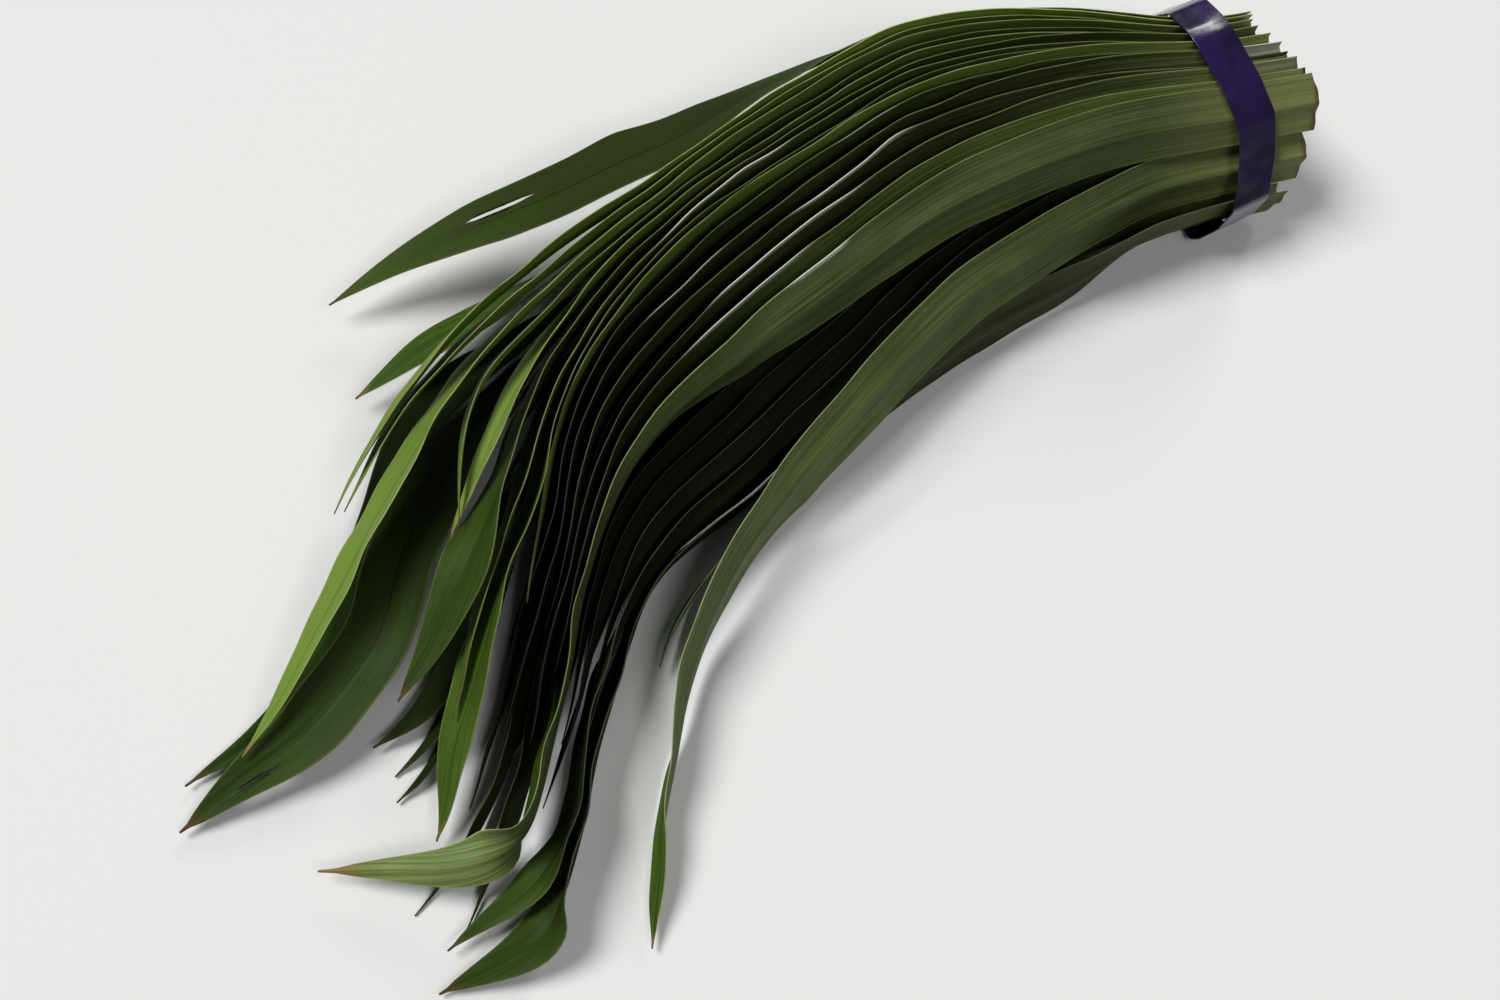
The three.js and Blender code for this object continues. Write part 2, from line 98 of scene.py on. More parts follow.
# %% The leaves that can be told apart
LISTED = {
  "fan_01": {"reach": 7.14, "taper": 0.66, "rows": [[3, 0.012, 67, 8], [4, 0.005, 64, 22], [5, -0.015, 56, 55],
    [6, -0.25, 33, 74], [7, -0.42, 14, 64]]},
  "fan_02": {"reach": 8.27, "taper": 0.6, "rows": [[5, 0.02, 68, 4], [6, -0.04, 50, 6], [7, -0.085, 41, 8],
    [8, -0.09, 26, 12]]},
  "fan_03": {"reach": 8.2, "taper": 0.6, "rows": [[5, 0.045, 68, 4], [6, 0, 51, 8], [7, -0.045, 42, 12],
    [8, -0.062, 27, 18]]},
  "fan_04": {"reach": 10.45, "taper": 0.66, "wide": 0.8, "rows": [[5, 0.07, 68, 4], [6, 0.05, 51, 10],
    [7, 0.04, 46, 14], [8, 0.018, 40, 21], [9, -0.01, 30.5, 32], [10, -0.005, 17, 50]]},
  "fan_05": {"reach": 7.67, "taper": 0.6, "rows": [[5, 0.095, 68, 2], [6, 0.09, 51, 4], [7, 0.12, 47, 4],
    [8, 0.36, 38, 0]]},
  "fan_06": {"reach": 7.75, "taper": 0.7, "wide": 0.9, "rows": [[5, 0.12, 68, 0], [6, 0.15, 51, 8],
    [7, 0.215, 45, 22], [7.5, 0.248, 37.5, 27], [8, 0.3, 30, 32]]},
  "fan_07": {"reach": 9.23, "taper": 0.72, "wide": 0.9, "rows": [[5, 0.145, 68, 2], [6, 0.19, 50.5, 2],
    [7, 0.305, 47, 6], [7.5, 0.336, 45.5, 24], [8, 0.34, 42, 60], [9, 0.31, 30, 72]]},
  "fan_08": {"reach": 9.02, "taper": 0.62, "rows": [[5, 0.17, 68, 0], [6, 0.24, 50.5, 2], [7, 0.385, 46, 4],
    [8, 0.43, 38, 6], [9, 0.465, 28, 14]]},
  "fan_09": {"reach": 10.1, "taper": 0.72, "rows": [[5, 0.195, 68, 0], [6, 0.27, 50.5, 2], [7, 0.43, 46, 4],
    [8, 0.47, 41, 10], [9, 0.52, 26, 42], [10, 0.6, 9, 60]]},
  "fan_10": {"reach": 7.71, "taper": 0.6, "rows": [[5, 0.22, 68, 0], [6, 0.3, 50.5, 0], [7, 0.475, 49, 0],
    [8, 0.6, 47, 4]]},
  "fan_20": {"reach": 10.9, "taper": 0.84, "wide": 0.94, "rows": [[3, 0.475, 70, -52],
    [4, 0.51, 69, -44], [5, 0.53, 67, -30], [6, 0.615, 46, -14], [7, 0.715, 38, -8],
    [8, 0.785, 30, -4], [9, 0.805, 27, -6], [9.5, 0.8, 26, -14], [9.8, 0.775, 25, -48],
    [10.1, 0.715, 22, -80], [10.4, 0.61, 18, -86], [10.9, 0.38, 9, -84]]},
  "shoulder_04": {"reach": 10.94, "taper": 0.8, "rows": [[5, 0.86, 38, -34], [6, 0.9, 28, -24], [7, 0.905, 28, -8],
    [8, 0.925, 22, 4], [9, 0.955, 17, 6], [9.5, 0.94, 14, 30], [10, 0.91, 10, 64], [11, 0.85, 6, 76]]},
  "shoulder_05": {"reach": 9.61, "taper": 0.6, "rows": [[2, 0.705, 53, -46], [3, 0.755, 53, -50],
    [4, 0.838, 52, -50], [5, 0.94, 46, -42], [6, 1.16, 24, -28], [7, 1.23, 18, -22], [8, 1.26, 13, -4],
    [9, 1.31, 8, 30], [9.6, 1.35, 4, 40]]},
  "floor_01": {"reach": 7.44, "taper": 0.7, "rows": [[5, 0.01, 1.5, 4], [6, -0.02, 18, 24], [7, -0.15, 16, 68],
    [7.5, -0.22, 9, 75]]},
  "floor_03": {"reach": 10.88, "taper": 0.8, "wide": 0.66, "rows": [[6, 0.076, 10, 26], [7, 0.018, 5.2, 70],
    [8, 0.06, 6.5, 78], [9, 0.08, 5.5, 80], [10, 0.02, 4.5, 80], [11, -0.08, 4, 82]]},
  "floor_04": {"reach": 11.21, "taper": 0.86, "rows": [[6, 0.16, 17, 10], [7, 0.165, 24, 42], [8, 0.15, 22, 70],
    [9, 0.165, 16, 76], [10, 0.1, 11, 78], [11, 0.015, 6, 80]]},
  "floor_08": {"reach": 9.71, "taper": 0.7, "rows": [[6, 0.342, 14.2, -1], [7, 0.38, 13.5, 3], [8, 0.43, 12, 40],
    [9, 0.4, 8, 64], [10, 0.26, 4, 70]]},
  "floor_09": {"reach": 9.8, "taper": 0.7, "rows": [[7, 0.445, 1.2, 0], [8, 0.47, 1.2, 8],
    [9, 0.46, 1.4, 20], [10, 0.4, 1.6, 40]]},
  "floor_10": {"reach": 10, "taper": 0.7, "rows": [[8, 0.51, 1.2, 4], [9, 0.505, 1.4, 14], [10, 0.44, 1.6, 40]]},
  "floor_13": {"reach": 10.8, "taper": 0.74, "rows": [[8, 0.752, 1.2, -29], [9, 0.73, 1.4, -20],
    [10, 0.7, 1.6, -24], [11, 0.71, 2, -26]]},
  "floor_14": {"reach": 10.66, "taper": 0.74, "rows": [[8, 0.827, 1.2, -35], [9, 0.82, 1.4, -35],
    [10, 0.81, 1.6, -34], [11, 0.86, 2, -20]]},
  "floor_17": {"reach": 11.37, "taper": 0.84, "rows": [[3, 0.955, 1.5, -24], [4, 0.97, 1.5, -16],
    [5, 0.975, 1.5, -4], [6, 0.96, 15.5, 0], [7, 0.97, 15.5, 0], [8, 0.985, 15, 0], [9, 0.99, 15, 2],
    [9.8, 1.01, 13.5, 10], [10.2, 1.03, 11, 46], [10.6, 1.01, 9, 72], [11.4, 0.91, 4, 76]]},
  "floor_18": {"reach": 6.8, "taper": 0.6, "rows": [[2, 1.015, 4, -24], [2.5, 1.025, 2.5, -30],
    [3, 1.018, 1.5, -30], [4, 1.02, 1.5, -18], [5, 1.04, 1.5, -8], [6, 1.075, 13, -4], [7, 1.11, 10, 0]]},
}
SHORT_LEAVES = {"fan_12": 6.2, "fan_14": 6.9, "fan_16": 7.3, "fan_18": 7, "floor_02": 5.6, "floor_05": 6.5,
  "floor_06": 6.8, "floor_07": 7, "floor_16": 7.6}
CUT_ENDS = [[-38, 0.58], [-28, 0.54], [-21, 0.3], [-10, 0.06], [0, -0.16], [6, -0.22], [14, -0.16], [40, -0.1]]
FAN_LEAN = [[0, 0], [0.6, 0.08], [0.8, 0.3], [0.9, 0.55], [1, 1]]
FLOOR_LEAN = [[0, 0], [0.35, 0], [0.647, -15], [0.706, -32], [0.765, -48], [0.824, -56], [0.882, -58]]
FLOOR_PLACE = [[0, 0.02], [0.647, 0.52], [0.706, 0.61], [0.882, 0.86], [0.941, 0.955], [1, 1]]
print("told apart", len(LISTED), "cut short", len(SHORT_LEAVES))


# %% Smooth steps, draws and curves
def mix(a, b, k):
    return a + (b - a) * k


def smooth_step(low, high, value):
    k = np.clip((value - low) / (high - low), 0, 1)
    return k * k * (3 - 2 * k)


def draw(leaf, purpose):
    """A repeatable draw from 0 to 1 for one leaf and one purpose."""
    wave = math.sin(leaf * 12.9898 + purpose * 78.233) * 43758.5453
    return wave - math.floor(wave)


def follow(keys, at):
    """A smooth curve through [place, value] keys, straight on past the first and the last."""
    x, y = np.array(keys, float).T
    at = np.asarray(at, float)
    steps = np.diff(y) / np.diff(x)
    slope = np.concatenate([steps[:1], (y[2:] - y[:-2]) / (x[2:] - x[:-2]), steps[-1:]])
    k = np.clip(np.searchsorted(x, at, side="left") - 1, 0, len(x) - 2)
    span = x[k + 1] - x[k]
    u = np.clip((at - x[k]) / span, 0, 1)
    inside = (
        y[k] * (1 + 2 * u) * (1 - u) ** 2 + slope[k] * span * u * (1 - u) ** 2
        + y[k + 1] * u * u * (3 - 2 * u) + slope[k + 1] * span * u * u * (u - 1)
    )
    return inside + slope[k] * np.minimum(at - x[k], 0) + slope[k + 1] * np.maximum(at - x[k + 1], 0)


def column_of(rows, column):
    return [[row[0], row[column]] for row in rows]


def table_point(rung, place):
    """The point of the table under a place in the bunch, from 0 on the outer side to 1 on the inner side."""
    corners = [
        [follow([[k, point[axis]] for k, point in enumerate(side)], rung) for side in (RUNG_OUTER, RUNG_INNER)]
        for axis in (0, 1)
    ]
    return [mix(outer, inner, place) for outer, inner in corners]


print("middle of rung 1", [round(float(v), 1) for v in table_point(1, 0.5)])


# %% The course of a plain leaf
def is_sunk(index):
    """Every second leaf of the fan's inner half is slimmer and lies deeper, so that dark gaps open beside it."""
    return 10 < index < 19 and index % 2 == 1


def plain_course(part, share, number):
    """Rows of rung, place, height and lean for a leaf that isn't listed."""
    def wander(purpose, size):
        return size * (draw(number, purpose) - 0.5)

    if part is FAN:
        lean = float(follow(FAN_LEAN, share))
        late = (share - 0.474) / 0.526

        def sunk_by(depth, rung, place, top, turn):
            deep = depth if is_sunk(number) else 0
            leaning = math.radians(turn)
            return [rung, place - deep * math.sin(leaning) / BEND_WIDTH, top - deep * math.cos(leaning), turn]

        return [
            sunk_by(9, 3, 0.445 * share, 70, -52 * lean),
            sunk_by(13, 4, 0.487 * share, 68, -44 * lean),
            sunk_by(12, 5, 0.508 * share, 68, -30 * lean),
            sunk_by(5, 6, mix(0.3, 0.59, late), 50.5, -16 * lean),
            [7, mix(0.5, 0.7, late), 46 + wander(7, 2), -10 * lean + wander(8, 5)],
            [8, mix(0.56, 0.765, late), 37 + wander(7, 4), -4 * lean + wander(8, 12)],
            [9, mix(0.6, 0.79, late), 26 + wander(7, 5), wander(8, 30)],
            [10, mix(0.64, 0.8, late), 15, wander(8, 70)],
        ]
    if part is SHOULDER:
        return [
            [3, mix(0.57, 0.76, share), 41, -30],
            [4, mix(0.61, 0.86, share), 38, -36],
            [5, mix(0.635, 0.92, share), 38, -38],
            [6, mix(0.72, 0.96, share), 28, -36],
            [7, mix(0.78, 0.96, share), 26, -24],
            [8, mix(0.84, 0.95, share), 22, -10 + wander(8, 10)],
            [9, mix(0.84, 0.96, share), 18, wander(8, 20)],
            [10, mix(0.84, 0.93, share), 13, wander(8, 50)],
        ]
    inner = float(follow(FLOOR_PLACE, share))
    laid = float(follow(FLOOR_LEAN, min(share, 0.88)))
    loose = 1 if share < 0.5 else 0.2
    return [
        [3, inner, 1.5, 0.85 * laid - 6 * (1 - float(smooth_step(0, 0.4, share)))],
        [4, inner, 1.2, laid],
        [5, inner, 1.2, laid],
        [6, inner, 1.2, laid + wander(8, 6) * loose],
        [8, mix(0.14, 0.99, share), 1.2, laid + wander(8, 20) * loose],
        [9, mix(0.18, 0.98, share), 1.4, 0.9 * laid + wander(8, 50) * loose],
        [10, mix(0.2, 0.97, share), 1.6, 0.8 * laid + wander(8, 60) * loose],
        [11, mix(0.22, 0.94, share), 2, 0.7 * laid + wander(8, 60) * loose],
    ]


# %% Everything that shapes one leaf
class Leaf:
    def __init__(self, part, index):
        share = index / (part["count"] - 1)
        self.part, self.index, self.share = part, index, share
        self.name = f"{part['label']}_{index + 1:02d}"
        self.number = index + 40 * PARTS.index(part)
        listed = LISTED.get(self.name, {})
        side, top, lean = (float(follow(column_of(part["seat"], k), share)) for k in (1, 2, 3))
        self.sunk = part is FAN and is_sunk(index)
        tucked = 4 if self.sunk or (part is FAN and 1 < index < 16 and index % 3) else 0
        lean_turn = math.radians(lean)
        seat = [
            0.5 + (side - tucked * math.sin(lean_turn)) / BUNCH_WIDTH, top - tucked * math.cos(lean_turn), lean,
        ]
        rows = plain_course(part, share, self.number)
        if listed:
            rows = [row for row in rows if row[0] < listed["rows"][0][0]] + listed["rows"]
        rows = [[-0.5, *seat], [0.5, *seat], [1.5, *seat], *rows]
        self.tracks = [column_of(rows, k) for k in (1, 2, 3)]
        self.sway = draw(self.number, 1) * FULL_TURN
        broad = part is FAN or self.name == "shoulder_05"
        laid = part is FLOOR and 11 < index < 16
        slim = 0.72 if part is SHOULDER or laid else 0.88
        fan_fold = float(follow([[0, 9], [0.1, 5], [0.75, 5], [1, 14]], share))
        self.seat_fold = fan_fold if part is FAN else 14 if broad else 8
        self.settles = 20 if part is FLOOR and (not listed or laid or index in (8, 9)) else 5
        self.start = float(follow(CUT_ENDS, side)) + 0.1 * (draw(self.number, 2) - 0.5)
        plain_reach = SHORT_LEAVES.get(self.name, mix(7.6, 9.8, draw(self.number, 3)))
        self.reach = listed.get("reach", plain_reach)
        self.taper = listed.get("taper", 0.62)
        plain_width = 0.76 if self.sunk else 1 if broad else slim
        self.width = BLADE_WIDTH * listed.get("wide", plain_width) * mix(0.95, 1.06, draw(self.number, 4))

    def place(self, rung):
        swing = 0.003 * smooth_step(2, 5, rung) * np.sin(self.sway + 2.1 * rung)
        return follow(self.tracks[0], rung) + swing

    def edge(self, rung):
        return self.part["edge"] * (1 - smooth_step(self.settles, self.settles + 1, rung))

    def fold(self, rung):
        keys = [[0, self.seat_fold], [1.5, self.seat_fold], [3.5, 8], [6, 9], [9, 15]]
        return np.radians(follow(keys, rung))

    def width_at(self, along):
        grown = mix(BASE_WIDTH_SHARE, 1, smooth_step(0, 0.3, along))
        tapered = np.maximum(0, (along - self.taper) / (1 - self.taper))
        return np.maximum(TIP_WIDTH, self.width * grown * (1 - tapered ** 1.7))

    def track(self, rung):
        return np.stack([*table_point(rung, self.place(rung)), follow(self.tracks[1], rung)], -1)

    def section(self, rung, half):
        """The middle of a blade at some rungs, and the directions across it and out of its keel side."""
        onward = unit(self.track(rung + 0.05) - self.track(rung - 0.05))
        inward = unit(np.stack([-onward[..., 1], onward[..., 0], 0 * onward[..., 0]], -1))
        up = np.cross(onward, inward)
        lean = np.radians(follow(self.tracks[2], rung))[..., None]
        across = up * np.cos(lean) + inward * np.sin(lean)
        face = inward * np.cos(lean) - up * np.sin(lean)
        middle = self.track(rung) - across * (self.edge(rung) * half)[..., None]
        return middle, across, face


def unit(vectors):
    return vectors / np.linalg.norm(vectors, axis=-1, keepdims=True)


def plain_corners(leaf, along):
    """The six corners of the solid's folded section at some shares of the leaf's length."""
    rung = mix(leaf.start, leaf.reach, along)
    half = leaf.width_at(along) / 2
    middle, across, face = leaf.section(rung, half)
    fold = leaf.fold(rung)
    corners = []
    for side, skin in ((-1, 1), (0, 1), (1, 1), (1, -1), (0, -1), (-1, -1)):
        out = half * np.sin(fold) * (0.5 - abs(side)) + skin * BLADE_THICKNESS / 2
        corners.append(middle + across * (side * half * np.cos(fold))[:, None] + face * out[:, None])
    return np.stack(corners, 1)


leaves = [Leaf(part, index) for part in PARTS for index in range(part["count"])]
SOLID_STATIONS = {"fan_07": 30, "fan_20": 42}
shifts, gaps = [], []
for leaf in leaves:
    corners = plain_corners(leaf, np.linspace(0, 1, SOLID_STATIONS.get(leaf.name, 21) + 1)).reshape(-1, 3)
    low, high = np.array(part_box(leaf.name)) / MM
    shifts.append((low + high) / 2 - (corners.min(0) + corners.max(0)) / 2)
    gaps.append(np.abs(high - low - np.ptp(corners, axis=0)).max())
SHIFT = np.mean(shifts, axis=0)  # the part's source moves the bunch so that its box stands over the origin
print("leaves", len(leaves), "shift mm", SHIFT.round(2), "same to", np.ptp(shifts, axis=0).max().round(3),
      "largest size gap mm", max(gaps).round(3))

# %% [markdown]
# ## The camera
# The photograph looks steeply down on the bunch. The camera stands 0.95 m away, 72 degrees above the table, and a
# 54 mm lens on a 36 mm sensor frames the whole bunch as the photograph does. A camera can be turned with a Track To
# constraint, but three directions written as a matrix say it in one line and leave nothing live in the scene.

# %% Camera
SENSOR_MM, LENS_MM = 36, 54.49
CAMERA_PLACE_MM, CAMERA_TARGET_MM = [-250, -150, 930], [0, 0, 30]


def placed(name, data):
    """An object that holds the data, in the scene's collection."""
    made = bpy.data.objects.new(name, data)
    bpy.context.collection.objects.link(made)
    return made


camera_data = bpy.data.cameras.new("photo_camera")
camera = placed("photo_camera", camera_data)
bpy.context.scene.camera = camera
camera_data.sensor_width, camera_data.lens = SENSOR_MM, LENS_MM
camera_place = Vector((np.array(CAMERA_PLACE_MM) + SHIFT) * MM)
camera_target = Vector((np.array(CAMERA_TARGET_MM) + SHIFT) * MM)
ahead = (camera_target - camera_place).normalized()
rightwards = Vector((1, 0, 0)) - ahead * ahead.x
rightwards.normalize()
upwards = rightwards.cross(ahead)
camera.matrix_world = Matrix.Translation(camera_place) @ Matrix((rightwards, upwards, -ahead)).transposed().to_4x4()
print("camera distance m", round((camera_target - camera_place).length, 3))

# %% [markdown]
# ## One blade's form
# A pandan blade is a strap 0.3 to 0.8 mm thick. It is folded softly along its keel, each half arches a little, and
# the margins run in slow waves that grow where the leaf is free. Sculpting forty leaves would take days, and a
# cloth simulation would lose the places that the photograph shows. So each leaf is a fine grid laid over the
# solid's own course, and small sums of sine waves move it sideways, up and down and at its margins.

# %% The lines of the grid
STATIONS = 132
HALF_SIDES = [0.1, 0.22, 0.36, 0.52, 0.68, 0.82, 0.92, 0.98, 1]
SIDES = [-s for s in reversed(HALF_SIDES)] + [0] + HALF_SIDES
FREE_FROM, FREE_BY = 1.7, 3.4  # rungs between which the band's hold is lost
LOOSE_FROM, LOOSE_BY = 5.6, 8.4  # rungs between which the neighbours' hold is lost
print("stations", STATIONS, "places across", len(SIDES))

# %% Leaves with a form of their own
# Slits along the strands: where across and along the blade, and how far they gape in mm.
TORN = {
    "fan_01": [{"side": -0.3, "from": 0.775, "to": 0.85, "open": 3.0}],
    "floor_04": [{"side": 0.3, "from": 0.91, "to": 0.958, "open": 2.4}],
}
# Where a free stretch rests a little nearer to its neighbour: its middle rung and reach, then how far it goes in
# mm towards its keel side and towards its upper margin.
NUDGED = {
    "fan_01": (4.4, 0.6, 0.6, 1.3), "fan_04": (0.65, 0.5, -0.13, 0), "fan_05": (0.65, 0.5, 0.17, 0),
    "fan_06": (7.75, 0.25, -1.6, 0), "fan_07": (0.65, 0.5, -0.3, 0), "fan_10": (6.9, 0.4, 0.5, 0),
    "fan_11": (0.6, 0.5, 0.41, 0), "fan_14": (6.95, 0.3, 0.9, 0), "fan_15": (1.05, 0.4, 0.3, 0),
    "fan_19": (7.2, 0.6, -1.8, 0),
    "shoulder_01": (7.9, 0.7, 1.2, 0), "shoulder_02": (8.2, 0.9, -1.2, 0), "shoulder_04": (7.6, 1.6, -1.6, 0),
    "floor_09": (8.2, 0.5, 1.0, 0), "floor_17": (6.0, 0.9, -4.2, 0),
}
# How far the upper margin rolls outward, in mm. It turns a strip of the keel side to the light.
ROLLED = {
    "fan_02": 1.2, "fan_03": 1.4, "fan_04": 2.3, "fan_05": 0.4, "fan_06": 1.0, "fan_07": 0.6, "fan_08": 0.8,
    "fan_09": 0.3, "fan_10": 1.7, "fan_11": 0.5, "fan_13": 0.9, "fan_15": 1.3, "fan_17": 1.0, "fan_19": 0.8,
}
# Short bulges of the upper margin, where a blade was pressed: its rung, and how far it goes in mm.
BULGES = {
    "fan_04": (3.9, 0.8), "fan_06": (3.6, -0.8), "fan_08": (4.4, -0.9), "fan_11": (2.6, 1.2), "fan_13": (3.1, 1.5),
    "fan_14": (3.7, 1.0), "fan_15": (3.35, -1.6), "fan_17": (2.75, 1.1),
}
print("torn", len(TORN), "nudged", len(NUDGED), "rolled", len(ROLLED), "bulged", len(BULGES))

# %% Painted light and shade along each leaf
# Painted glints, where the margin catches the light: rungs from and to, and how strongly.
PAINTED_GLINTS = {
    "fan_08": [(3.9, 5.3, 1.0)], "fan_11": [(3.2, 3.9, 0.4)], "fan_13": [(4.6, 5.6, 0.5)],
    "fan_15": [(3.1, 4.4, 0.9)], "fan_17": [(3.5, 5.2, 1.0)], "fan_19": [(4.0, 5.5, 0.8)],
    "fan_20": [(3.85, 4.55, 1.0)],
}
BLEACHED = {"fan_13": 0.75, "fan_09": 0.3, "fan_17": 0.35}  # leaves whose base saw no light at all
# Painted shade and painted light along each leaf, by rung: a factor on its brightness that darkens the stretches
# lying in shade inside the bunch and lightens those that meet the light.
PAINTED_SHADE_INNER_FAN = [[4.4, 1], [5.5, 0.34], [6.8, 0.1]]
PAINTED_SHADE_SHOULDER_AND_FLOOR = [[1.2, 1], [2.4, 0.16], [8.4, 0.12], [10, 0.7]]
PAINTED_SHADING_KEYS = {
    "fan_01": [[1.6, 1.2], [2.4, 1.1], [3.4, 0.7], [4.2, 0.45], [5.6, 0.55], [7, 1.1]],
    "fan_02": [[1, 1], [1.8, 1.7], [3, 1.9], [4.2, 1.1], [6, 1]], "fan_03": [[2, 0.7], [3.4, 0.8], [5, 1]],
    "fan_04": [[2, 1.1], [3, 0.8], [4.5, 1.1], [6, 1.4], [10, 1.7]],
    "fan_05": [[4.5, 0.7], [6, 1.3], [8, 1.5]], "fan_06": [[1.5, 1.3], [3.5, 1.2], [4.4, 0.8], [5.5, 1.7]],
    "fan_07": [[5, 0.8], [7, 0.85]], "fan_08": [[4.5, 0.8], [6, 1.1], [8, 0.9]],
    "fan_09": [[4.5, 0.7], [6, 1.1], [9, 1.25]],
    "fan_10": [[1.5, 1.2], [3, 1.3], [5, 1.1], [7, 0.8]],
    "fan_15": [[4.4, 1], [5.4, 0.75], [6.4, 0.55], [7.2, 0.1]],
    "fan_20": [[0, 0.9], [2, 0.85], [3.5, 1.1], [4.6, 1.6], [5.5, 1.6], [7, 0.9], [9.6, 1.2], [10, 2.2]],
    "shoulder_04": [[1.2, 1], [2.4, 0.16], [9.2, 0.25], [9.9, 1.1]],
    "shoulder_05": [[0, 0.9], [2.5, 1], [4, 1.4], [5.5, 1.8], [9, 1.7]],
    "floor_01": [[5.5, 0.7], [6.5, 2.3]], "floor_02": [[1.2, 1], [2.4, 0.4], [5, 0.5]],
    "floor_03": [[1.2, 1], [2.4, 0.3], [8.2, 0.25], [9.2, 1]],
    "floor_04": [[1.2, 1], [2.4, 0.25], [7.6, 0.15], [9, 1]],
    "floor_17": [[1.2, 1], [2.4, 0.4], [9.6, 0.2], [10.2, 0.9]], "floor_18": [[5, 0.72]],
}


# The painted light and shade of a leaf at some rungs: the inner fan leaves and the lower leaves go dark where they
# lie in shade.
def painted_shading_of(leaf, rung):
    plain = PAINTED_SHADE_INNER_FAN if leaf.part is FAN and leaf.index > 9 else [[0, 1]] if leaf.part is FAN else PAINTED_SHADE_SHOULDER_AND_FLOOR
    keys = PAINTED_SHADING_KEYS.get(leaf.name, plain)
    return np.interp(rung, *np.array(keys, float).T)


# Painted glints along a leaf, by rung.
def painted_glint_of(leaf, rung):
    glint = 0 * rung
    for first, last, strength in PAINTED_GLINTS.get(leaf.name, []):
        middle, reach = (first + last) / 2, (last - first) / 2
        glint = glint + strength * (1 - smooth_step(0.4, 1, np.abs(rung - middle) / reach))
    return glint


print("glinting", len(PAINTED_GLINTS), "shaded one by one", len(PAINTED_SHADING_KEYS))

# %% Waves, slits and bulges
RUFFLE_MM = (53, 29)  # wavelengths along a margin
KEEL_ROUNDING = 0.09  # how far from the keel its fold is rounded, as a share of the half width
BULGE_REACH = 0.17  # in rungs
BASE_WAVES_MM = 32  # how far from the cut the base is wavy


def wave(leaf, purpose, length_mm, wavelength):
    return np.sin(length_mm * (2 * math.pi / wavelength) + draw(leaf.number, purpose) * FULL_TURN)


def blade_lines(leaf):
    """Shares of the leaf's length and places across it, with two more columns along each tear."""
    along = np.linspace(0, 1, STATIONS)
    side = np.repeat(np.array([SIDES], float), STATIONS, 0)
    tears = []
    for tear in TORN.get(leaf.name, []):
        half = leaf.width_at(along) / 2
        inside = np.clip((along - tear["from"]) / (tear["to"] - tear["from"]), 0, 1)
        gap = tear["open"] * np.sin(np.pi * inside ** 1.4) / half / 2
        column = int(np.searchsorted(SIDES, tear["side"]))
        edges = [tear["side"] - gap - 0.004, tear["side"] + gap + 0.004]
        side = np.concatenate([side[:, :column], np.stack(edges, 1), side[:, column:]], 1)
        rows = np.where(gap > 1e-4)[0]
        tears.append((column, rows[0], rows[-1] + 1))
    return along, side, tears


def out_of_flat(leaf, side, rung, length, half, free, loose):
    """How far each point stands out on the keel side: fold, arch, ruffles, rolled margin and bulges."""
    narrow = np.clip(half / (leaf.width / 2), 0, 1)
    keel = np.sqrt(side ** 2 + KEEL_ROUNDING ** 2)
    arch = (0.45 + 0.5 * draw(leaf.number, 15)) * narrow[:, None]
    out = (half * np.sin(leaf.fold(rung)))[:, None] * (0.5 - keel) - arch * 4 * np.abs(side) * (1 - np.abs(side))
    for purpose, way in ((16, 1), (18, -1)):
        size = narrow * (0.05 + free * mix(0.2, 0.75, loose))
        long, short = (wave(leaf, purpose + k, length, RUFFLE_MM[k]) for k in (0, 1))
        ruffle = size * (long + 0.45 * short)
        out = out + ruffle[:, None] * np.clip(way * side, 0, 1) ** 2
    rolled = ROLLED.get(leaf.name, 0) * free * (1 - loose)
    out = out - rolled[:, None] * np.clip((side - 0.5) / 0.5, 0, 1) ** 2
    bulge_rung, bulge = BULGES.get(leaf.name, (0, 0))
    bulge = bulge * np.exp(-((rung - bulge_rung) / BULGE_REACH) ** 2)
    out = out + bulge[:, None] * np.clip((side - 0.2) / 0.8, 0, 1) ** 1.5
    past_band = 1 - smooth_step(0, BASE_WAVES_MM, length)
    nested = 0.3 * leaf.index  # neighbours wave nearly together, so that they stay clear of each other
    return out + past_band[:, None] * (0.5 * np.sin(3.6 * side + nested) + 0.25 * np.sin(8 * side + 1.3 * nested))


print("slits in the first leaf", len(blade_lines(leaves[0])[2]))

# %% The grid of a blade
DRIFT_MM, LIFT_MM = (190, 71), (163, 57)  # wavelengths of a whole blade's wander, sideways and up and down
BASE_THICK_MM = 80  # how far from the cut a blade is thicker
LOWEST_SHEET = 0.5  # the middle of a sheet stays this far over the table, so that its skin does too


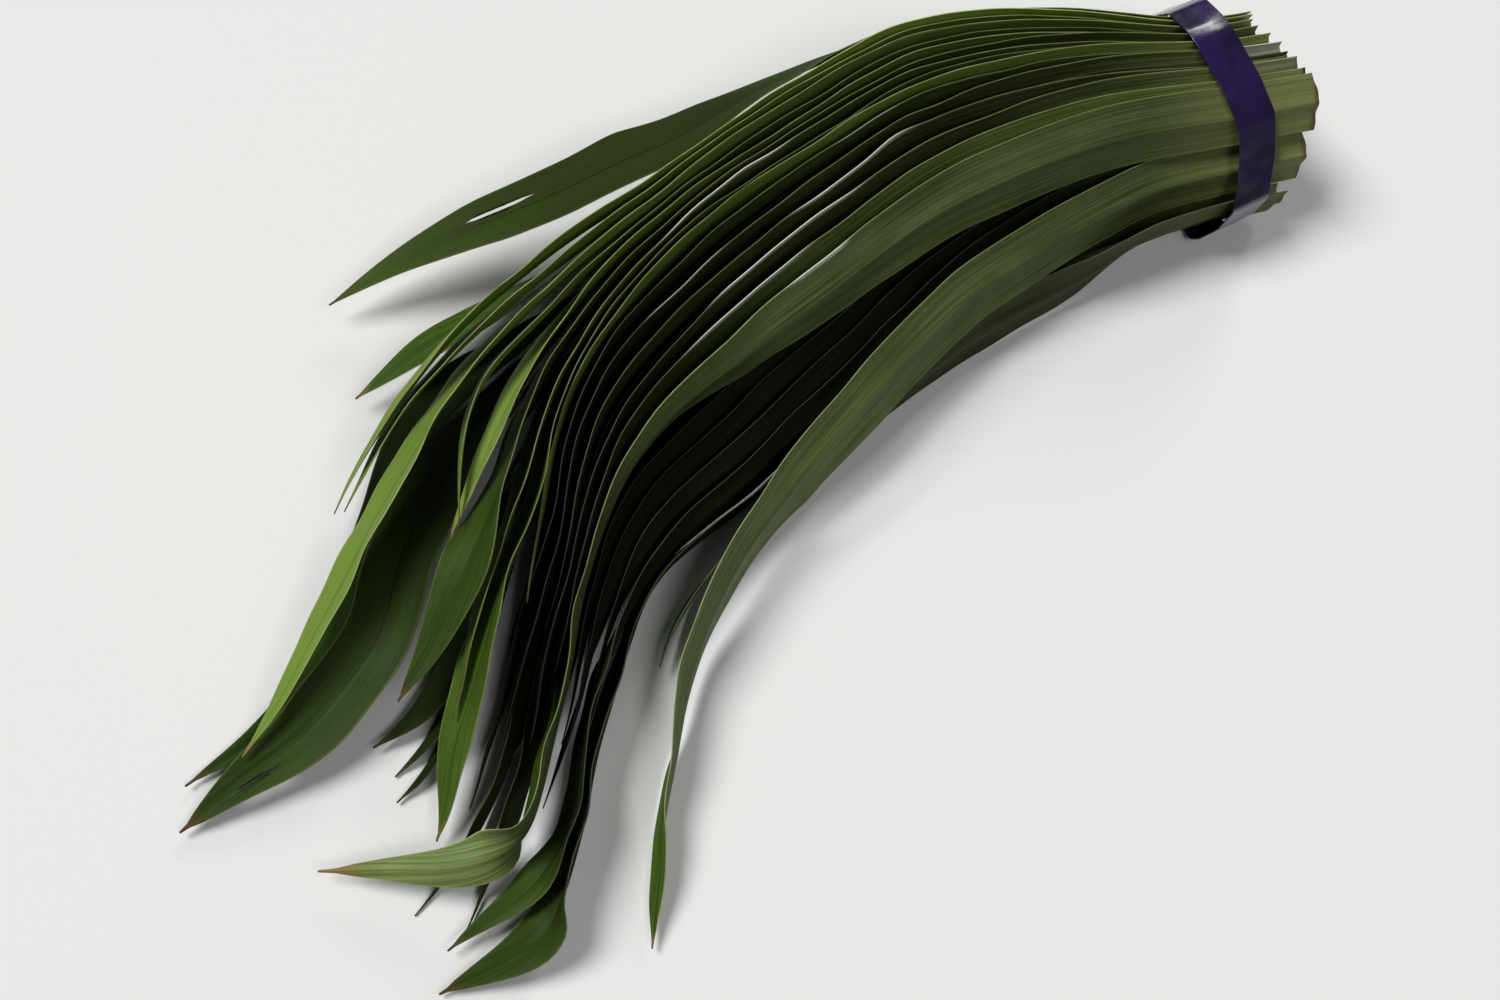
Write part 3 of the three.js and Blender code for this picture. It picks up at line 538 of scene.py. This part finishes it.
def blade_grid(leaf):
    """The middle sheet of a blade, its thickness, and what its finish needs to know at each point."""
    along, side, tears = blade_lines(leaf)
    rung = mix(leaf.start, leaf.reach, along)
    half = leaf.width_at(along) / 2
    half = half * mix(1, 0.45, smooth_step(0.985, 1, along))
    middle, across, face = leaf.section(rung, half)
    steps = np.linalg.norm(np.diff(leaf.track(rung), axis=0), axis=1)
    length = np.concatenate([[0], np.cumsum(steps)])
    free = smooth_step(FREE_FROM, FREE_BY, rung)
    loose = smooth_step(LOOSE_FROM, LOOSE_BY, rung)

    slow, quick = (wave(leaf, 11 + k, length, DRIFT_MM[k]) for k in (0, 1))
    drift = mix(0.5, 0.9, loose) * slow + mix(0.1, 0.5, loose) * quick
    slow, quick = (wave(leaf, 13 + k, length, LIFT_MM[k]) for k in (0, 1))
    lift = mix(0.6, 0.9, loose) * slow + mix(0.1, 0.35, loose) * quick
    nudge_rung, nudge_reach, to_keel_side, to_margin = NUDGED.get(leaf.name, (0, 1, 0, 0))
    nudge = np.exp(-((rung - nudge_rung) / nudge_reach) ** 2)
    drift = free * drift + nudge * to_keel_side
    lift = free * lift + nudge * to_margin
    middle = middle + face * drift[:, None] + across * lift[:, None]
    out = out_of_flat(leaf, side, rung, length, half, free, loose)
    flat_half = half * np.cos(leaf.fold(rung))
    sheet = middle[:, None] + across[:, None] * (side * flat_half[:, None])[..., None]
    sheet = sheet + face[:, None] * out[..., None]

    near_cut = 1 - smooth_step(0, BASE_THICK_MM, length)
    thick = BLADE_THICKNESS * mix(1.1, 0.6, np.abs(side) ** 1.5)
    thick = thick + near_cut[:, None] * (0.15 + 0.25 * (1 - side ** 2))
    thick = thick * mix(1, 0.6, smooth_step(0.9, 1, along))[:, None]
    onward = unit(leaf.track(rung[1:2]) - leaf.track(rung[:1]))
    knife = 0.9 * (draw(leaf.number, 23) - 0.5) * side[0] * half[0] / 4 + 0.15 * np.sin(side[0] * 11 + leaf.number)
    knife = knife + 2.6 * smooth_step(0.35, 1, side[0])
    sheet[0] = sheet[0] + onward * knife[:, None]
    sheet[..., 2] = np.maximum(sheet[..., 2], LOWEST_SHEET)
    # Painted light and shade along the leaf, as a factor on its brightness.
    lengthwise = {"along_mm": length, "to_tip": along, "painted_shading": painted_shading_of(leaf, rung)}
    marks = {name: np.repeat(values[:, None], side.shape[1], 1) for name, values in lengthwise.items()}
    marks |= {
        "across_mm": side * half[:, None],
        "rim": np.abs(side),
        # One mark carries the painted glints near the upper margin and the real pale base of the bleached leaves.
        "glint": painted_glint_of(leaf, rung)[:, None] * smooth_step(0.8, 0.99, side)
                 + BLEACHED.get(leaf.name, 0) * (1 - smooth_step(0.5, 1.5, rung))[:, None],
    }
    return sheet, thick, face, across, marks, tears


print("a blade's grid", blade_grid(leaves[0])[0].shape)

# %% A closed blade from its grid
UNDERSIDE, UPPER, MARGIN, CUT = range(4)
RIM_SHARE = 0.45  # how far the rounded rim stands out, as a share of the blade's thickness


def ring_of(keel_side, lower, upper, inner_side):
    return np.concatenate([keel_side, upper[:, None], inner_side[:, ::-1], lower[:, None]], 1)


def blade_mesh(leaf):
    """The blade as one closed skin: keel side, upper margin, inner side, lower margin, cut end and tip."""
    sheet, thick, face, across, marks, tears = blade_grid(leaf)
    offset = face[:, None] * (thick / 2)[..., None]
    rim_out = across * (thick[:, :1] * RIM_SHARE)
    points = ring_of(sheet + offset, sheet[:, 0] - rim_out, sheet[:, -1] + rim_out, sheet - offset)
    stations, size = points.shape[:2]
    columns = sheet.shape[1]
    kinds = [UNDERSIDE] * (columns - 1) + [MARGIN] * 2 + [UPPER] * (columns - 1) + [MARGIN] * 2
    open_cells = {(row, cell) for column, first, last in tears for row in range(first, last)
                  for cell in (column, 2 * columns - 1 - column)}
    faces, kind_of = [], []
    for i in range(stations - 1):
        for j in range(size):
            if (i, j) in open_cells:
                continue
            k = (j + 1) % size
            faces.append((i * size + j, i * size + k, (i + 1) * size + k, (i + 1) * size + j))
            kind_of.append(kinds[j])
    for row, kind in ((0, CUT), (stations - 1, MARGIN)):
        first = row * size
        for j in range(columns - 1):
            faces.append((first + j, first + j + 1, first + size - 3 - j, first + size - 2 - j))
            kind_of.append(kind)
        faces.append((first + columns - 1, first + columns, first + columns + 1))
        faces.append((first + size - 2, first + size - 1, first))
        kind_of += [kind, kind]
    for column, first, last in tears:
        for edge in (column, column + 1):
            other = size - 2 - edge
            for i in range(first, last):
                faces.append((i * size + edge, (i + 1) * size + edge, (i + 1) * size + other, i * size + other))
                kind_of.append(MARGIN)
    ring_marks = {name: ring_of(grid, grid[:, 0], grid[:, -1], grid) for name, grid in marks.items()}
    return points.reshape(-1, 3), faces, kind_of, ring_marks, atlas_of(faces, stations, size)


# %% The blade's flat map
LENGTHS = 3  # a blade is a dozen times as long as it is wide, so its flat map is cut in three and stacked


def atlas_of(faces, stations, size):
    """Flat map places for every face corner: each length of each side is one row of the map."""
    rows, half = math.ceil((stations - 1) / LENGTHS), size // 2
    places = []
    for corners in faces:
        station = [c // size for c in corners]
        column = [(c % size + 1) % size for c in corners]
        first = min(station)
        if max(station) == first:  # the cut end and the tip
            end = 0 if first == 0 else 1
            places += [(0.965 + 0.01 * (q >= half), (end + (q % half + 1) / (half + 2)) / 2) for q in column]
            continue
        piece, lowest = first // rows, min(column)
        wraps = max(column) - lowest > half  # from the last column back to the first
        side = 1 if wraps or lowest >= half else 0
        for at, q in zip(station, column):
            q = min((size if wraps and q == 0 else q) - side * half, half) / half
            row = piece * 2 + side
            places.append((0.01 + 0.94 * (at - piece * rows) / rows, (row + 0.04 + 0.92 * q) / (2 * LENGTHS)))
    return places


trial = blade_mesh(leaves[0])
print("points a leaf", len(trial[0]), "faces", len(trial[1]))


# %% From points to a Blender object
def piece_from(name, points, faces, kinds, materials, marks, places):
    """A smooth mesh object in metres with a material for each kind of face, its marks and its flat map."""
    mesh = bpy.data.meshes.new(name)
    mesh.from_pydata(((points + SHIFT) * MM).tolist(), [], faces)
    mesh.polygons.foreach_set("material_index", kinds)
    mesh.polygons.foreach_set("use_smooth", [True] * len(faces))
    for label, values in marks.items():
        layer = mesh.attributes.new(label, "FLOAT", "POINT")
        layer.data.foreach_set("value", np.ravel(values).astype(np.float32))
    for material in materials:
        mesh.materials.append(material)
    mesh.uv_layers.new(name="OFBake").data.foreach_set("uv", np.ravel(places))
    work = bmesh.new()
    work.from_mesh(mesh)
    bmesh.ops.recalc_face_normals(work, faces=work.faces)
    work.to_mesh(mesh)
    work.free()
    return placed(name, mesh)

# %% [markdown]
# ## Leaf surfaces
# The upper side of a pandan blade is a deep waxy green, and the underside is paler, greyer and matt, with the
# ridges of its strands showing. Both pale towards the cut, where the blade saw no light, and go straw brown at the
# very tip. An image could carry this, but here the colour comes from each point's own place on its leaf: how far
# it is from the keel, from the cut and from the margin. Then every strand runs true along its blade, bends and all.

# %% Colours and nodes
def srgb(hex_colour):
    """A colour written as sRGB hex, turned to the linear values that a shader uses."""
    parts = [int(hex_colour[i:i + 2], 16) / 255 for i in (1, 3, 5)]
    return [c / 12.92 if c <= 0.04045 else ((c + 0.055) / 1.055) ** 2.4 for c in parts] + [1]


def add(tree, kind, settings=None, inputs=None):
    """Adds one node with its settings; each input is a value, or a node or socket to link from."""
    made = tree.nodes.new(kind)
    for name, value in (settings or {}).items():
        setattr(made, name, value)
    for name, value in (inputs or {}).items():
        if isinstance(value, bpy.types.Node):
            value = next(output for output in value.outputs if output.enabled)
        if isinstance(value, bpy.types.NodeSocket):
            tree.links.new(value, made.inputs[name])
        else:
            made.inputs[name].default_value = value
    return made


def new_material(name, marks=()):
    """A material with an empty tree, and in it the marks of the mesh that its colours are worked out from."""
    material = bpy.data.materials.new(name)
    material.use_nodes = True
    tree = material.node_tree
    tree.nodes.clear()
    return material, tree, {
        mark: add(tree, "ShaderNodeAttribute", {"attribute_name": mark}).outputs["Fac"] for mark in marks
    }


MATH, RANGE, MIX = "ShaderNodeMath", "ShaderNodeMapRange", "ShaderNodeMix"
NOISE, BUMP, COORDINATES = "ShaderNodeTexNoise", "ShaderNodeBump", "ShaderNodeTexCoord"
SURFACE, OUTPUT = "ShaderNodeBsdfPrincipled", "ShaderNodeOutputMaterial"
SMOOTH, COLOUR = {"interpolation_type": "SMOOTHSTEP"}, {"data_type": "RGBA"}
MULTIPLIED = {"data_type": "RGBA", "blend_type": "MULTIPLY"}
TIMES, TIMES_PLUS, OVER = ({"operation": name} for name in ("MULTIPLY", "MULTIPLY_ADD", "DIVIDE"))


def tinted(tree, colour, layers):
    """Lays tints over a colour: what decides, from and to, the tint's share at both, and the tint."""
    for decides, first, last, share_first, share_last, tint in layers:
        share = add(tree, RANGE, SMOOTH, {
            "Value": decides, "From Min": first, "From Max": last, "To Min": share_first, "To Max": share_last,
        })
        colour = add(tree, MIX, COLOUR, {"Factor": share, 6: colour, 7: srgb(tint)})
    return colour


print("leaf green, linear", [round(c, 3) for c in srgb("#3f5e1d")[:3]])


# %% Blade material
LEAF_MARKS = ["across_mm", "along_mm", "to_tip", "rim", "glint", "seed", "yellow", "bright", "edge_bright"]
# Width and run in mm, and detail. Real strands are about 0.3 mm apart: they are drawn 0.75 mm wide, to show.
STRANDS, RIDGES, PATCHES, FLECKS = (0.75, 60, 2), (2.6, 160, 1), (14, 45, 3), (1.1, 3.2, 4)


def streaks(tree, at, strand_mm, run_mm, detail):
    """Noise drawn out along the blade: about strand_mm wide and run_mm long."""
    place = add(tree, "ShaderNodeCombineXYZ", {}, {
        0: add(tree, MATH, OVER, {0: at["across_mm"], 1: strand_mm}),
        1: add(tree, MATH, OVER, {0: at["along_mm"], 1: run_mm}),
        2: at["seed"],
    })
    return add(tree, NOISE, {}, {"Vector": place, "Scale": 1, "Detail": detail}).outputs["Fac"]


def blade_material(name, deep, light, keel, keel_share, edge_share, roughness, ridge_mm, specular):
    """Strands, soft ridges, patches and flecks, over a pale base, a light margin and a dry tip. The light margin is
    partly painted light, and each point's painted light and shade and its painted glints are laid over all.
    """
    material, tree, at = new_material(name, LEAF_MARKS)
    strands, ridges, patches, flecks = (streaks(tree, at, *size) for size in (STRANDS, RIDGES, PATCHES, FLECKS))

    tone = add(tree, MATH, TIMES, {0: patches, 1: 0.6})
    tone = add(tree, MATH, TIMES_PLUS, {0: strands, 1: 1.0, 2: tone})
    base = add(tree, MATH, TIMES_PLUS, {0: patches, 1: 34, 2: at["along_mm"]})
    edge = add(tree, MATH, TIMES_PLUS, {0: flecks, 1: 0.03, 2: at["rim"]})
    dry = add(tree, MATH, TIMES_PLUS, {0: flecks, 1: 0.02, 2: at["to_tip"]})
    cut = add(tree, MATH, TIMES_PLUS, {0: flecks, 1: -3.5, 2: at["along_mm"]})
    colour = tinted(tree, srgb(deep), [
        (tone, 0.52, 1.08, 0, 1, light),
        (at["yellow"], 0, 1, 0, 0.75, "#738939"),
        (at["rim"], 0, 0.05, keel_share, 0, keel),
        (base, 22, 110, 0.85, 0, "#949d60"),
        (flecks, 0.66, 0.74, 0, 0.5, "#4d4a1d"),
        # A lighter strip along both margins: partly the margin's own paler green, partly painted light on the
        # edges.
        (edge, 0.95, 0.995, 0, edge_share, "#83934c"),
        (cut, -0.8, 1.6, 0.75, 0, "#8a7350"),
        (dry, 0.985, 1.003, 0, 1, "#6e5a33"),
    ])
    # The leaf's brightness mark carries its own tone and its painted light and shade.
    colour = add(tree, MIX, MULTIPLIED, {"Factor": 1, 6: colour, 7: at["bright"]})
    # Painted glints whiten the margin's strip; the same mark pales the base of the bleached leaves, their own
    # colour.
    colour = tinted(tree, colour, [(at["glint"], 0.1, 1, 0, 0.85, "#d8dcc6")])

    height = add(tree, MATH, TIMES, {0: ridges, 1: ridge_mm})
    height = add(tree, MATH, TIMES_PLUS, {0: strands, 1: 0.17, 2: height})
    gloss = add(tree, RANGE, {}, {
        "Value": strands, "From Min": 0.3, "From Max": 0.7, "To Min": roughness - 0.06, "To Max": roughness + 0.08,
    })
    dulled = add(tree, RANGE, SMOOTH, {
        "Value": at["bright"], "From Min": 0.06, "From Max": 0.5, "To Min": 0.4, "To Max": 0,
    })
    shader = add(tree, SURFACE, {}, {
        "Base Color": colour,
        "Roughness": add(tree, MATH, {"operation": "ADD", "use_clamp": True}, {0: gloss, 1: dulled}),
        "Normal": add(tree, BUMP, {}, {"Height": height, "Distance": MM, "Strength": 1}),
        "IOR": 1.45, "Specular IOR Level": specular,
    })
    add(tree, OUTPUT, {}, {"Surface": shader})
    return material


# The upper side grew under a smooth film of wax: to the eye a deep green with a broad, soft sheen. Leaf wax has an
# IOR of 1.45, and fresh leaves a roughness of 0.3 to 0.5. Both sides were then dulled until their greens matched.
waxy_upper = blade_material(
    "pandan_upper_side_waxy_cuticle", deep="#1e3207", light="#3c5a14", keel="#141f08", keel_share=0.6,
    edge_share=0.5, roughness=0.52, ridge_mm=0.35, specular=0.1,
)
# The underside has little wax and its strands stand out: a paler, greyer green that stays matt from all sides.
matt_under = blade_material(
    "pandan_underside_matt_ribbed", deep="#424f28", light="#6b7848", keel="#848f58", keel_share=0.3,
    edge_share=0.3, roughness=0.54, ridge_mm=0.6, specular=0.18,
)
print(waxy_upper.name, "nodes", len(waxy_upper.node_tree.nodes))

# %% Margin and cut
def plain_leaf_part(name, dark, light, roughness, grain_mm):
    """Two tones in grains of one size, with the leaf's margin brightness, its painted light and shade included, its
    painted glints and its dry tip.
    """
    material, tree, at = new_material(name, LEAF_MARKS)
    grain = add(tree, NOISE, {}, {
        "Vector": add(tree, COORDINATES).outputs["Object"], "Scale": 1 / (grain_mm * MM), "Detail": 4,
    }).outputs["Fac"]
    colour = tinted(tree, srgb(dark), [(grain, 0.35, 0.65, 0, 1, light), (at["to_tip"], 0.97, 1, 0, 1, "#6e5a33")])
    colour = add(tree, MIX, MULTIPLIED, {"Factor": 1, 6: colour, 7: at["edge_bright"]})
    # Painted glints whiten the margin, and the same mark pales the base of the bleached leaves.
    colour = tinted(tree, colour, [(at["glint"], 0.1, 1, 0, 0.9, "#e2e5d4")])
    shader = add(tree, SURFACE, {}, {
        "Base Color": colour, "Roughness": roughness, "IOR": 1.45,
        "Normal": add(tree, BUMP, {}, {"Height": grain, "Distance": 0.15 * MM, "Strength": 1}),
    })
    add(tree, OUTPUT, {}, {"Surface": shader})
    return material


# The margin is so thin that light glows through it yellow green: its paler colour is partly its own and partly
# that glow, painted. The cut is bare fibre, browned since the knife: a matt, warm edge that stands out against
# the green.
pale_margin = plain_leaf_part("pandan_margin_thin_yellow_green", "#7d8a48", "#929d60", 0.5, 9)
dry_cut = plain_leaf_part("pandan_cut_end_knife_cut_browned", "#a58c68", "#e2d3b2", 0.7, 0.8)
blade_materials = [matt_under, waxy_upper, pale_margin, dry_cut]
print("materials of a blade", [material.name for material in blade_materials])

# %% [markdown]
# ## The leaves
# Leaves of one bunch differ in age and so in colour: yellow green on the outer side, grey green on the broad
# undersides. Their darkness inside the bunch is painted shade, and brighter stretches where they meet the light
# are painted light. Each leaf could have a material of its own, but forty copies are hard to keep alike.
# So all share four, and numbers written on each mesh tint it: repeatable draws, or chosen ones for the leaves that
# the photograph shows well. Every leaf replaces the solid of the same name.

# %% Leaf by leaf
# A leaf's yellowness, its brightness, and the brightness of its margin. The yellowness is the leaf's own colour;
# the brightnesses are partly its own tone and partly painted light and shade: low where a leaf lies in shade inside
# the bunch, high where a leaf or its margin meets the light.
LEAF_TONES_AND_PAINTED_LIGHT = {
    "fan_01": (0.5, 0.72, 0.8), "fan_02": (0.95, 1.6, 1.5), "fan_03": (0.9, 1.5, 1.5), "fan_04": (0.65, 1.3, 1.2),
    "fan_05": (0.6, 1.2, 0.9), "fan_06": (0.8, 1.3, 1.0), "fan_07": (0.3, 1.0, 0.9), "fan_08": (0.5, 1.2, 1.1),
    "fan_09": (0.3, 1.2, 0.8), "fan_10": (0.9, 1.5, 1.1), "fan_11": (0.4, 0.9, 0.6), "fan_12": (0.1, 0.6, 0.35),
    "fan_13": (0.3, 0.8, 0.7), "fan_14": (0.1, 0.5, 0.3), "fan_15": (0.1, 0.8, 0.6), "fan_16": (0.1, 0.5, 0.3),
    "fan_17": (0.2, 0.8, 0.8), "fan_18": (0.1, 0.5, 0.3), "fan_19": (0.6, 0.9, 1.1),
    "fan_20": (0.2, 1.0, 1.0), "shoulder_05": (0.2, 1.0, 1.0), "floor_18": (0.15, 0.8, 0.7),
    "shoulder_04": (0.35, 0.8, 0.8), "floor_04": (0.3, 0.75, 0.7), "floor_17": (0.4, 0.75, 0.8),
}
LEAF_TONE = 0.62  # how deep all the greens are


def tints(leaf):
    bright = 0.65 + 0.35 * draw(leaf.number, 22)
    plain = (0.1 + 0.24 * draw(leaf.number, 21), bright, 0.7 * bright)
    yellow, bright, edge_bright = LEAF_TONES_AND_PAINTED_LIGHT.get(leaf.name, plain)
    return yellow, bright * LEAF_TONE, edge_bright * LEAF_TONE


triangles = 0
for leaf in leaves:
    points, faces, kinds, marks, places = blade_mesh(leaf)
    # The painted light and shade darkens or lightens the blade and its margin alike.
    painted_shading = marks.pop("painted_shading").ravel()
    yellow, bright, edge_bright = tints(leaf)
    marks.update(seed=np.full(len(points), 3.7 * leaf.number), yellow=np.full(len(points), yellow),
                 bright=bright * painted_shading, edge_bright=edge_bright * painted_shading)
    piece = piece_from(f"leaf_{leaf.name}", points, faces, kinds, blade_materials, marks, places)
    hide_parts(leaf.name)
    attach(piece, "root")
    triangles += 2 * len(faces)
print("leaf triangles", triangles)

# %% [markdown]
# ## The band
# The band is a strip of glossy violet film, 20 mm wide, drawn tight round the leaves and lapped on itself. It could
# be a curve with a profile, but a curve doesn't know where the leaves press. So its loop is the outline of
# every leaf corner under it, as a stretched film finds by itself, with fine creases added where it is pulled.

# %% The outline of the leaves under the band
def outline_of(points):
    """The corners of the convex outline of flat points, in order."""
    ordered = sorted(set(map(tuple, points)))
    def half(run):
        kept = []
        for p in run:
            while len(kept) > 1:
                a, b = kept[-2:]
                if (b[0] - a[0]) * (p[1] - a[1]) - (b[1] - a[1]) * (p[0] - a[0]) > 0:
                    break
                kept.pop()
            kept.append(p)
        return kept[:-1]
    return np.array(half(ordered) + half(ordered[::-1]))


band_middle, before, after = (np.array([*map(float, table_point(rung, 0.5)), 0]) for rung in (1, 0.9, 1.1))
towards_cut = unit(before - after)
skew = math.radians(BAND_SKEW)
axis = np.array([
    towards_cut[0] * math.cos(skew) - towards_cut[1] * math.sin(skew),
    towards_cut[0] * math.sin(skew) + towards_cut[1] * math.cos(skew), 0,
])
band_side = np.array([axis[1], -axis[0], 0])
held = []
for leaf in leaves:
    rungs = np.arange(0.2, 1.5, 0.02)
    corners = plain_corners(leaf, (rungs - leaf.start) / (leaf.reach - leaf.start)).reshape(-1, 3)
    away = corners - band_middle
    near = np.abs(away @ axis) < BAND_WIDTH / 2 + 1
    held += np.stack([away @ band_side, corners[:, 2]], 1)[near].round(6).tolist()
outline = outline_of(held)
print("outline corners", len(outline), "across mm", np.ptp(outline, axis=0).round(1))

# %% The band's film
BAND_TURNS = 320
FILM_SLACK = 0.25  # in mm, so that the film's rounded corners stay off the leaves
BAND_SHARES = np.array([-1, -0.985, -0.94, -0.8, -0.5, -0.2, 0.2, 0.5, 0.8, 0.94, 0.985, 1])
# A stretched band isn't quite straight: how far it stands towards the cut, in mm, by its turn in degrees.
BAND_SLIDE = [[-180, 0], [-90, -1], [-45, -5], [-20, -5.5], [0, 0], [25, 4], [55, 4.5], [85, 2], [115, 0], [180, 0]]


def even_loop(count):
    """Points at even steps along the outline of the leaves, the way out at each, and its turn in degrees."""
    turn = np.radians(np.arange(0, 360, 0.25))
    out = np.stack([np.cos(turn), np.sin(turn)], 1)
    loop = outline[np.argmax(out @ outline.T, axis=1)] + out * BAND_CLEARANCE
    steps = np.linalg.norm(np.roll(loop, -1, 0) - loop, axis=1)
    run = np.concatenate([[0], np.cumsum(steps)])
    places = np.arange(count) * run[-1] / count
    even = np.stack([np.interp(places, run, np.append(loop[:, k], loop[0, k])) for k in (0, 1)], 1)
    for _ in range(3):  # film bends over a corner in a short curve
        even = (np.roll(even, 1, 0) + 2 * even + np.roll(even, -1, 0)) / 4
    onward = unit(np.roll(even, -1, 0) - np.roll(even, 1, 0))
    outward = np.stack([onward[:, 1], -onward[:, 0]], 1)
    centre = even.mean(0)
    turn = np.degrees(np.arctan2(even[:, 1] - centre[1], even[:, 0] - centre[0]))
    return even + outward * FILM_SLACK, outward, turn


def band_mesh():
    loop, out, turn = even_loop(BAND_TURNS)
    lapped = smooth_step(149, 151, turn % 360) * (1 - smooth_step(208, 210, turn % 360))
    slide = follow(BAND_SLIDE, turn)
    run = np.arange(BAND_TURNS)[:, None]
    crease = 0.1 * np.sin(run * 0.11) * np.sin(BAND_SHARES * 2.2 + run * 0.04)
    crease = crease + 0.05 * np.sin(run * 0.3 + BAND_SHARES * 2.6)
    rings = []
    for lift, columns in ((0, BAND_SHARES), (1, BAND_SHARES[::-1])):
        away = lift * (BAND_THICKNESS + BAND_LAP_THICKNESS * lapped[:, None] + crease[:, ::-1])
        spot = loop[:, None] + out[:, None] * (away * np.ones(len(columns)))[..., None]
        along = slide[:, None] + columns * BAND_WIDTH / 2
        ring = band_middle + band_side * spot[..., :1] + axis * along[..., None]
        ring[..., 2] = np.maximum(spot[..., 1], 0)
        rings.append(ring)
    points = np.concatenate(rings, 1)
    size = points.shape[1]
    cells = [(i, j) for i in range(BAND_TURNS) for j in range(size)]
    corners = ((0, 0), (0, 1), (1, 1), (1, 0))
    faces = [tuple((i + a) % BAND_TURNS * size + (j + b) % size for a, b in corners) for i, j in cells]
    rows = BAND_TURNS // 4  # the flat map has a quarter of the loop on each row
    places = [
        (0.01 + 0.98 * (i % rows + a) / rows, (i // rows + 0.03 + 0.94 * (j + b) / size) / 4)
        for i, j in cells for a, b in corners
    ]
    return points.reshape(-1, 3), faces, places


WRINKLES_PER_M = 60
LINES_PER_M = 700  # draw lines are about 0.1 mm apart: they are drawn 1.4 mm apart, to show


def film_material():
    """Stretched polypropylene film, printed deep violet through: glossy, with faint draw lines and creases."""
    # To the eye: a deep colour under sharp white glints. The IOR is polypropylene's, and printed film has a
    # roughness of 0.15 to 0.3 under its clear coat.
    material, tree, _ = new_material("violet_polypropylene_film_glossy")
    place = add(tree, COORDINATES).outputs["Object"]
    wide = add(tree, NOISE, {}, {"Vector": place, "Scale": WRINKLES_PER_M, "Detail": 1}).outputs["Fac"]
    fine = add(tree, NOISE, {}, {"Vector": place, "Scale": LINES_PER_M, "Detail": 3}).outputs["Fac"]
    height = add(tree, MATH, TIMES_PLUS, {0: fine, 1: 0.05, 2: wide})
    shader = add(tree, SURFACE, {}, {
        "Base Color": tinted(tree, srgb("#190f2e"), [(wide, 0.35, 0.65, 0, 1, "#241545")]),
        "Roughness": add(tree, RANGE, {}, {"Value": fine, "To Min": 0.16, "To Max": 0.3}),
        "Normal": add(tree, BUMP, {}, {"Height": height, "Distance": 0.8 * MM, "Strength": 1}),
        "IOR": 1.49, "Coat Weight": 0.5, "Coat Roughness": 0.08,
    })
    add(tree, OUTPUT, {}, {"Surface": shader})
    return material


points, faces, places = band_mesh()
band = piece_from("leaf_band", points, faces, [0] * len(faces), [film_material()], {}, places)
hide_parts("band")
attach(band, "root")
print("band faces", len(faces))

# %% [markdown]
# ## Table, light and view
# The photograph was lit by one large soft source from the upper left and little else, which leaves the gaps of
# the bunch almost black. Area lights fade towards the table's far end. So three wide suns light it evenly: a
# strong one from the upper left, weak ones from above and behind, and a faint world for the room.

# %% Table
table_mesh = bpy.data.meshes.new("table")
TABLE_REACH = 6.0  # metres
table_corners = [(x * TABLE_REACH, y * TABLE_REACH, 0) for x, y in ((-1, -1), (1, -1), (1, 1), (-1, 1))]
table_mesh.from_pydata(table_corners, [], [(0, 1, 2, 3)])
table = placed("table", table_mesh)
# White laminate pressed on a matt plate: an even pale ground with no glints, so only the leaves draw the eye.
table_material, tree, _ = new_material("matt_white_laminate")
shader = add(tree, SURFACE, {}, {"Base Color": srgb("#e6e6e4"), "Roughness": 0.75})
add(tree, OUTPUT, {}, {"Surface": shader})
table_mesh.materials.append(table_material)
print("table reaches m", TABLE_REACH)

# %% Lights
def wide_sun(name, place, width_degrees, strength):
    """A far light as wide as a softbox: its shadows are as soft, and it lights the table evenly to its far end."""
    data = bpy.data.lights.new(name, "SUN")
    data.energy, data.angle = strength, math.radians(width_degrees)
    light = placed(name, data)
    light.location = place
    light.rotation_euler = (-Vector(place)).to_track_quat("-Z", "Y").to_euler()


wide_sun("key_light", place=(-1.25, 0.6, 1.5), width_degrees=22, strength=2.9)
wide_sun("overhead_light", place=(0.35, -0.5, 2.0), width_degrees=26, strength=0.65)
wide_sun("back_light", place=(0.6, 1.6, 0.8), width_degrees=14, strength=0.6)
ROOM_LIGHT = 0.06
world = bpy.data.worlds.new("room")
bpy.context.scene.world = world
world.use_nodes = True
room = world.node_tree.nodes["Background"].inputs
room["Color"].default_value = (1, 1, 1, 1)
room["Strength"].default_value = ROOM_LIGHT
bpy.context.scene.view_settings.view_transform = "Standard"
print("lights", [light.name for light in bpy.data.lights])
